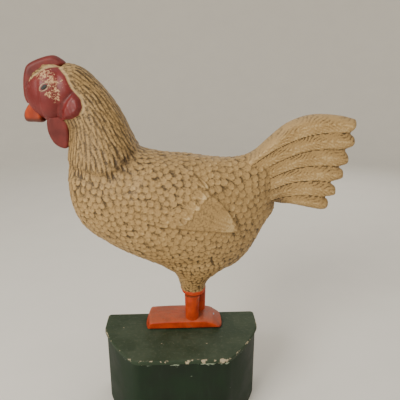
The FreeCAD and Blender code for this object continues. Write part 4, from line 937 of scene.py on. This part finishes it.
def head_surface(x, z, side, out=0.0):
    """The point of the head's egg at (x, z) on one side, raised by out."""
    gone = ((x - HEAD_AT[0]) / HEAD_RADII[0]) ** 2 + ((z - HEAD_AT[2]) / HEAD_RADII[2]) ** 2
    return Vector((x, side * (HEAD_RADII[1] * math.sqrt(max(1 - gone, 0)) + out), z))


def almond(turn, size):
    """A point of the eye's outline in the side view: pointed at both ends."""
    along = EYE_LONG * math.cos(turn) * size
    up = EYE_HIGH * math.sin(turn) * abs(math.sin(turn)) ** 0.25 * size
    return (EYE_AT[0] + along * math.cos(EYE_TILT) - up * math.sin(EYE_TILT),
            EYE_AT[1] + along * math.sin(EYE_TILT) + up * math.cos(EYE_TILT))


print("an eye is", 2 * EYE_LONG, "mm long")

# %% Rim along a path, in Geometry Nodes
def rim_tree(material):
    tree = bpy.data.node_groups.new("rim_along_path", "GeometryNodeTree")
    tree.interface.new_socket("Path", in_out="INPUT", socket_type="NodeSocketGeometry")
    for label, value in (("Rim radius", 0.0007), ("Sides", 12)):
        kind = "NodeSocketFloat" if label == "Rim radius" else "NodeSocketInt"
        tree.interface.new_socket(label, in_out="INPUT", socket_type=kind).default_value = value
    tree.interface.new_socket("Rim", in_out="OUTPUT", socket_type="NodeSocketGeometry")
    given = add(tree, "NodeGroupInput")
    circle = add(tree, "GeometryNodeCurvePrimitiveCircle",
                 {"Resolution": given.outputs["Sides"], "Radius": given.outputs["Rim radius"]})
    swept = add(tree, "GeometryNodeCurveToMesh",
                {"Curve": given.outputs["Path"], "Profile Curve": circle.outputs["Curve"]})
    real = add(tree, "GeometryNodeRealizeInstances", {"Geometry": swept.outputs["Mesh"]})
    named = add(tree, "GeometryNodeSetMaterial",
                {"Geometry": real.outputs["Geometry"], "Material": material})
    add(tree, "NodeGroupOutput", {"Rim": named.outputs["Geometry"]})
    return tree


def eye_finish(name, main, deep, gloss):
    """Smooth enamel put on with a fine brush: glossy on the ball, dull on the lid."""
    material, node, shader, where = finish(name, IOR=1.5)
    colour = node("mix", node("ramp", lumps(node, where, 1.8, 3), 0.35, 0.65), tint(deep),
                  tint(main))
    dull = node("ramp", lumps(node, where, 1.0, 2), 0.3, 0.7, gloss, gloss + 0.15)
    dress(node, shader, colour, dull, lumps(node, where, 0.7, 3), 0.08, 0.5)
    return material


lid_paint = eye_finish("eye_lid_paint", "#b09a78", "#7d6a4c", 0.5)
eye_paint = eye_finish("eye_ball_enamel", "#26251d", "#141310", 0.55)
lid_tree = rim_tree(lid_paint)
print("the rim tree has", len(lid_tree.nodes), "nodes")

# %% Eyes and lids
LID_POINTS, LID_SIDES, LID_RADIUS = 48, 12, 0.6


def lid(name, side):
    path = bpy.data.curves.new(name, "CURVE")
    path.dimensions = "3D"
    spline = path.splines.new("POLY")
    spline.points.add(LID_POINTS - 1)
    for k, point in enumerate(spline.points):
        x, z = almond(2 * math.pi * k / LID_POINTS, 1.12)
        point.co = (*(head_surface(x, z, side, 1.5) * MM), 1)
    spline.use_cyclic_u = True
    curve_object = bpy.data.objects.new(name + "_path", path)
    bpy.context.scene.collection.objects.link(curve_object)
    modifier = curve_object.modifiers.new("rim", "NODES")
    modifier.node_group = lid_tree
    sockets = {s.name: s.identifier for s in lid_tree.interface.items_tree if s.in_out == "INPUT"}
    modifier[sockets["Rim radius"]] = LID_RADIUS * MM
    modifier[sockets["Sides"]] = LID_SIDES
    evaluated = curve_object.evaluated_get(bpy.context.evaluated_depsgraph_get())
    made = bpy.data.objects.new(name, bpy.data.meshes.new_from_object(evaluated))
    bpy.context.scene.collection.objects.link(made)
    bpy.data.objects.remove(curve_object)
    return made


def eyeball(name, side):
    """A low dome over the almond, closed underneath."""
    rings, around = 8, 40
    points = [head_surface(*EYE_AT, side, 2.3)]
    for k in range(1, rings + 1):
        share = k / rings
        for j in range(around):
            x, z = almond(2 * math.pi * j / around, share)
            points.append(head_surface(x, z, side, 1.3 + 1.0 * math.sqrt(1 - share * share)))
    points.append(head_surface(*EYE_AT, side, -1.0))
    return piece_from(name, points, faces_between_poles(rings, around))


for side, name in ((-1, "left"), (1, "right")):
    for made, paint in ((lid("eye_lid_" + name, side), lid_paint),
                        (eyeball("eye_ball_" + name, side), eye_paint)):
        made.data.materials.clear()
        made.data.materials.append(paint)
        outward(made).data.shade_smooth()
        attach(made, "bird")
        print(made.name, "has", len(made.data.polygons), "faces")

# %% [markdown]
# ## The plinth
# The plinth is a pine box with a thin top board, both painted green. The upright case is
# given a darker copy of the board's green, and the board's own upright edges are darkened
# too: painted shade on the faces that stand upright. Along the rim the paint has flaked down
# to its pale ground. The rim can be found without knowing the outline: the chips are let in
# where the surface turns from flat to upright, and in a band a few millimetres wide inside
# the straight front edge.

# %% Green paint
board_low, board_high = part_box("plinth_top")


def green_board():
    """Oil paint on a pine board, dusty and rubbed: dull, mottled, with flakes off the rim."""
    material, node, shader, where = finish("green_paint_on_board", IOR=1.4)
    axes = node("ShaderNodeSeparateXYZ", {"Vector": where})
    facing = node("ShaderNodeSeparateXYZ",
                  {"Vector": node("ShaderNodeNewGeometry").outputs["Normal"]})
    cloud, speck = lumps(node, where, 26, 4), lumps(node, where, 3.2, 5, rough=0.62)
    grain = lumps(node, where, 1.5, 4, stretch=(0.12, 1, 1))
    colour = node("mix", node("ramp", cloud, 0.35, 0.68), tint("#2c3a26"), tint("#404b39"))
    colour = node("mix", node("ramp", speck, 0.5, 0.85, 0, 0.6), colour, tint("#5f6350"))
    colour = node("mix", node("ramp", grain, 0.5, 0.8, 0, 0.28), colour, tint("#252e1a"))
    # Painted shade: the board's upright edges darker, towards the case's green.
    upright = node("ramp", facing.outputs["Z"], 0.92, 0.55)
    colour = node("mix", node("times", upright, 0.75), colour, tint("#22331f"))
    front = node("ramp", axes.outputs["Y"], board_low.y + 0.0048, board_low.y + 0.0006)
    upper = node("ramp", axes.outputs["Z"], board_high.z - 0.0032, board_high.z - 0.001)
    rounding = node("times", node("ramp", facing.outputs["Z"], 0.998, 0.85), upper)
    rim = node("larger", front, rounding)
    flake = lumps(node, where, 6.5, 5, rough=0.6)
    level = node("plus", flake, node("times", rim, 0.15))
    bare = node("ramp", level, 0.70, 0.73)
    stray = node("ramp", lumps(node, where, 4, 3), 0.77, 0.79)
    bare = node("larger", bare, stray)
    colour = node("mix", bare, colour, tint("#a89b80"))
    height = node("plus", node("times", grain, 0.35),
                  node("plus", speck, node("times", bare, -1.4)))
    dress(node, shader, colour, node("ramp", cloud, 0.3, 0.7, 0.62, 0.8), height, 0.20, 0.6)
    return material


def shaded_green_case():
    """Glossier paint on the upright pine case, darker than the board as painted shade, with
    vertical runs and a few small chips.
    """
    material, node, shader, where = finish("shaded_green_paint_on_case", IOR=1.36)
    axes = node("ShaderNodeSeparateXYZ", {"Vector": where})
    cloud = lumps(node, where, 30, 3)
    run = lumps(node, where, 5, 4, stretch=(1, 1, 0.18))
    speck = lumps(node, where, 2.0, 5, rough=0.62)
    # Painted shade: the case's greens are a darker copy of the board's green paint.
    colour = node("mix", node("ramp", cloud, 0.35, 0.68), tint("#0a1b0b"), tint("#122613"))
    colour = node("mix", node("ramp", run, 0.5, 0.8, 0, 0.45), colour, tint("#1b2f1c"))
    foot = node("ramp", axes.outputs["Z"], 0.014, 0.0)
    colour = node("mix", node("times", foot, 0.5), colour, tint("#27301e"))
    under = node("ramp", axes.outputs["Z"], board_low.z - 0.007, board_low.z - 0.001)
    flake = lumps(node, where, 7, 5, stretch=(0.45, 0.45, 1.6), rough=0.6)
    level = node("plus", flake, node("times", under, 0.17))
    bare = node("ramp", level, 0.735, 0.76)
    colour = node("mix", bare, colour, tint("#93a08a"))
    height = node("plus", run, node("plus", node("times", speck, 0.3), node("times", bare, -1.0)))
    dress(node, shader, colour, node("ramp", cloud, 0.3, 0.7, 0.55, 0.7), height, 0.16, 0.5)
    return material


board_paint, shaded_case_paint = green_board(), shaded_green_case()
print("made", board_paint.name, shaded_case_paint.name)

# %% [markdown]
# ## Metals and bare wood
# The clockwork hides in the plinth, yet each piece has its real finish. Brass plates and
# wheels are rolled sheet, brushed one way and browned with age. Steel arbors are turned, so
# their marks run round. The springs are blued by tempering. The key and the stop knob are
# nickel plated, with yellowish patches where the plating is worn. The bottom board is pine.

# %% Metals
def metal(name, main, deep, gloss, brushing, spots="#4a3c28"):
    """A metal with fine parallel marks and a little tarnish."""
    material, node, shader, where = finish(name, Metallic=1.0)
    marks = lumps(node, where, 0.5, 3, stretch=brushing)
    cloud = lumps(node, where, 9, 4)
    colour = node("mix", node("ramp", cloud, 0.3, 0.7), tint(deep), tint(main))
    colour = node("mix", node("ramp", cloud, 0.66, 0.82, 0, 0.6), colour, tint(spots))
    dull = node("plus", node("ramp", marks, 0.3, 0.7, gloss, gloss + 0.14),
                node("ramp", cloud, 0.6, 0.85, 0, 0.2))
    dress(node, shader, colour, dull, marks, 0.03, 0.5)
    return material


brass = metal("rolled_brass", "#c9a458", "#a8843c", 0.26, (0.06, 1, 1))
steel = metal("turned_steel", "#a9a9aa", "#86868a", 0.28, (1, 0.2, 1))
blued = metal("blued_spring_steel", "#3c4a63", "#262c3a", 0.22, (0.1, 1, 1), spots="#5a4630")
nickel = metal("worn_nickel_plate", "#c3beb2", "#9c9788", 0.20, (1, 0.3, 1), spots="#8c7440")


# %% Bare wood
def pine(name, main, late):
    """Planed pine: long pale early wood with thin darker late-wood lines about 3 mm apart."""
    material, node, shader, where = finish(name, IOR=1.45)
    bent = node("ShaderNodeMapping", {"Vector": where, "Scale": (0.05, 1, 1)})
    rings = node("ShaderNodeTexWave", {
        "Vector": bent.outputs["Vector"], "Scale": 1 / (18 * MM), "Distortion": 5.0,
        "Detail": 3.0, "Detail Scale": 1.2}, wave_type="BANDS", bands_direction="Y").outputs["Fac"]
    fibre = lumps(node, where, 0.8, 4, stretch=(0.05, 1, 1))
    colour = node("mix", node("ramp", rings, 0.55, 0.95), tint(main), tint(late))
    colour = node("mix", node("ramp", fibre, 0.45, 0.8, 0, 0.4), colour, tint(late))
    dress(node, shader, colour, node("ramp", fibre, 0.3, 0.7, 0.6, 0.78), fibre, 0.12, 0.6)
    return material


bare_pine = pine("bare_pine", "#b58c5c", "#7c5630")
print("made", brass.name, steel.name, blued.name, nickel.name, bare_pine.name)

# %% [markdown]
# ## Every CAD piece gets its finish
# The record names a material slot for each piece, so one table from slot to finish reaches
# them all, and nothing is left in its plain CAD colour.

# %% Finishes by slot
FINISHES = {"plumage": painted_composition, "comb_red": red_enamel, "beak_orange": beak_enamel,
            "leg_orange": orange_enamel, "board_green": board_paint, "case_green": shaded_case_paint,
            "bare_wood": bare_pine, "brass": brass, "steel": steel, "spring_steel": blued,
            "key_nickel": nickel}
for part in frame["record"]["subparts"]:
    node = frame["nodes"][part["node"]]
    node.data.materials.clear()
    node.data.materials.append(FINISHES[part["material_slot"]])

# %% [markdown]
# ## The floor
# A plain pale sheet of paper lies under the toy and curves up far behind it on every side, as
# in a portrait studio, so that no view shows where the floor ends.

# %% Floor
def paper_bowl(flat=1150, bend=650, high=1500, around=96, steps=14):
    profile = [(flat * k / 4, 0) for k in range(1, 5)]
    profile += [(flat + bend * math.sin(a), bend - bend * math.cos(a))
                for a in np.linspace(0, math.pi / 2, steps)[1:]] + [(flat + bend, high)]
    points = [(0, 0, -0.2)] + [(r * math.cos(t), r * math.sin(t), z - 0.2) for r, z in profile
                               for t in np.linspace(0, 2 * math.pi, around, endpoint=False)]
    faces = [(0, 1 + j, 1 + (j + 1) % around) for j in range(around)]
    for k in range(len(profile) - 1):
        a, b = 1 + k * around, 1 + (k + 1) * around
        faces += [(a + j, b + j, b + (j + 1) % around, a + (j + 1) % around)
                  for j in range(around)]
    return points, faces


floor = piece_from("floor", *paper_bowl())
floor.data.shade_smooth()
floor_paint, node, floor_shader, where = finish("pale_paper", Roughness=0.9)
paper = node("mix", lumps(node, where, 60, 2), tint("#e8e4db"), tint("#eeeae1"))
floor_paint.node_tree.links.new(paper, floor_shader.inputs["Base Color"])
floor.data.materials.append(floor_paint)
print("the floor's paper is", round(floor.dimensions.x, 1), "m wide")
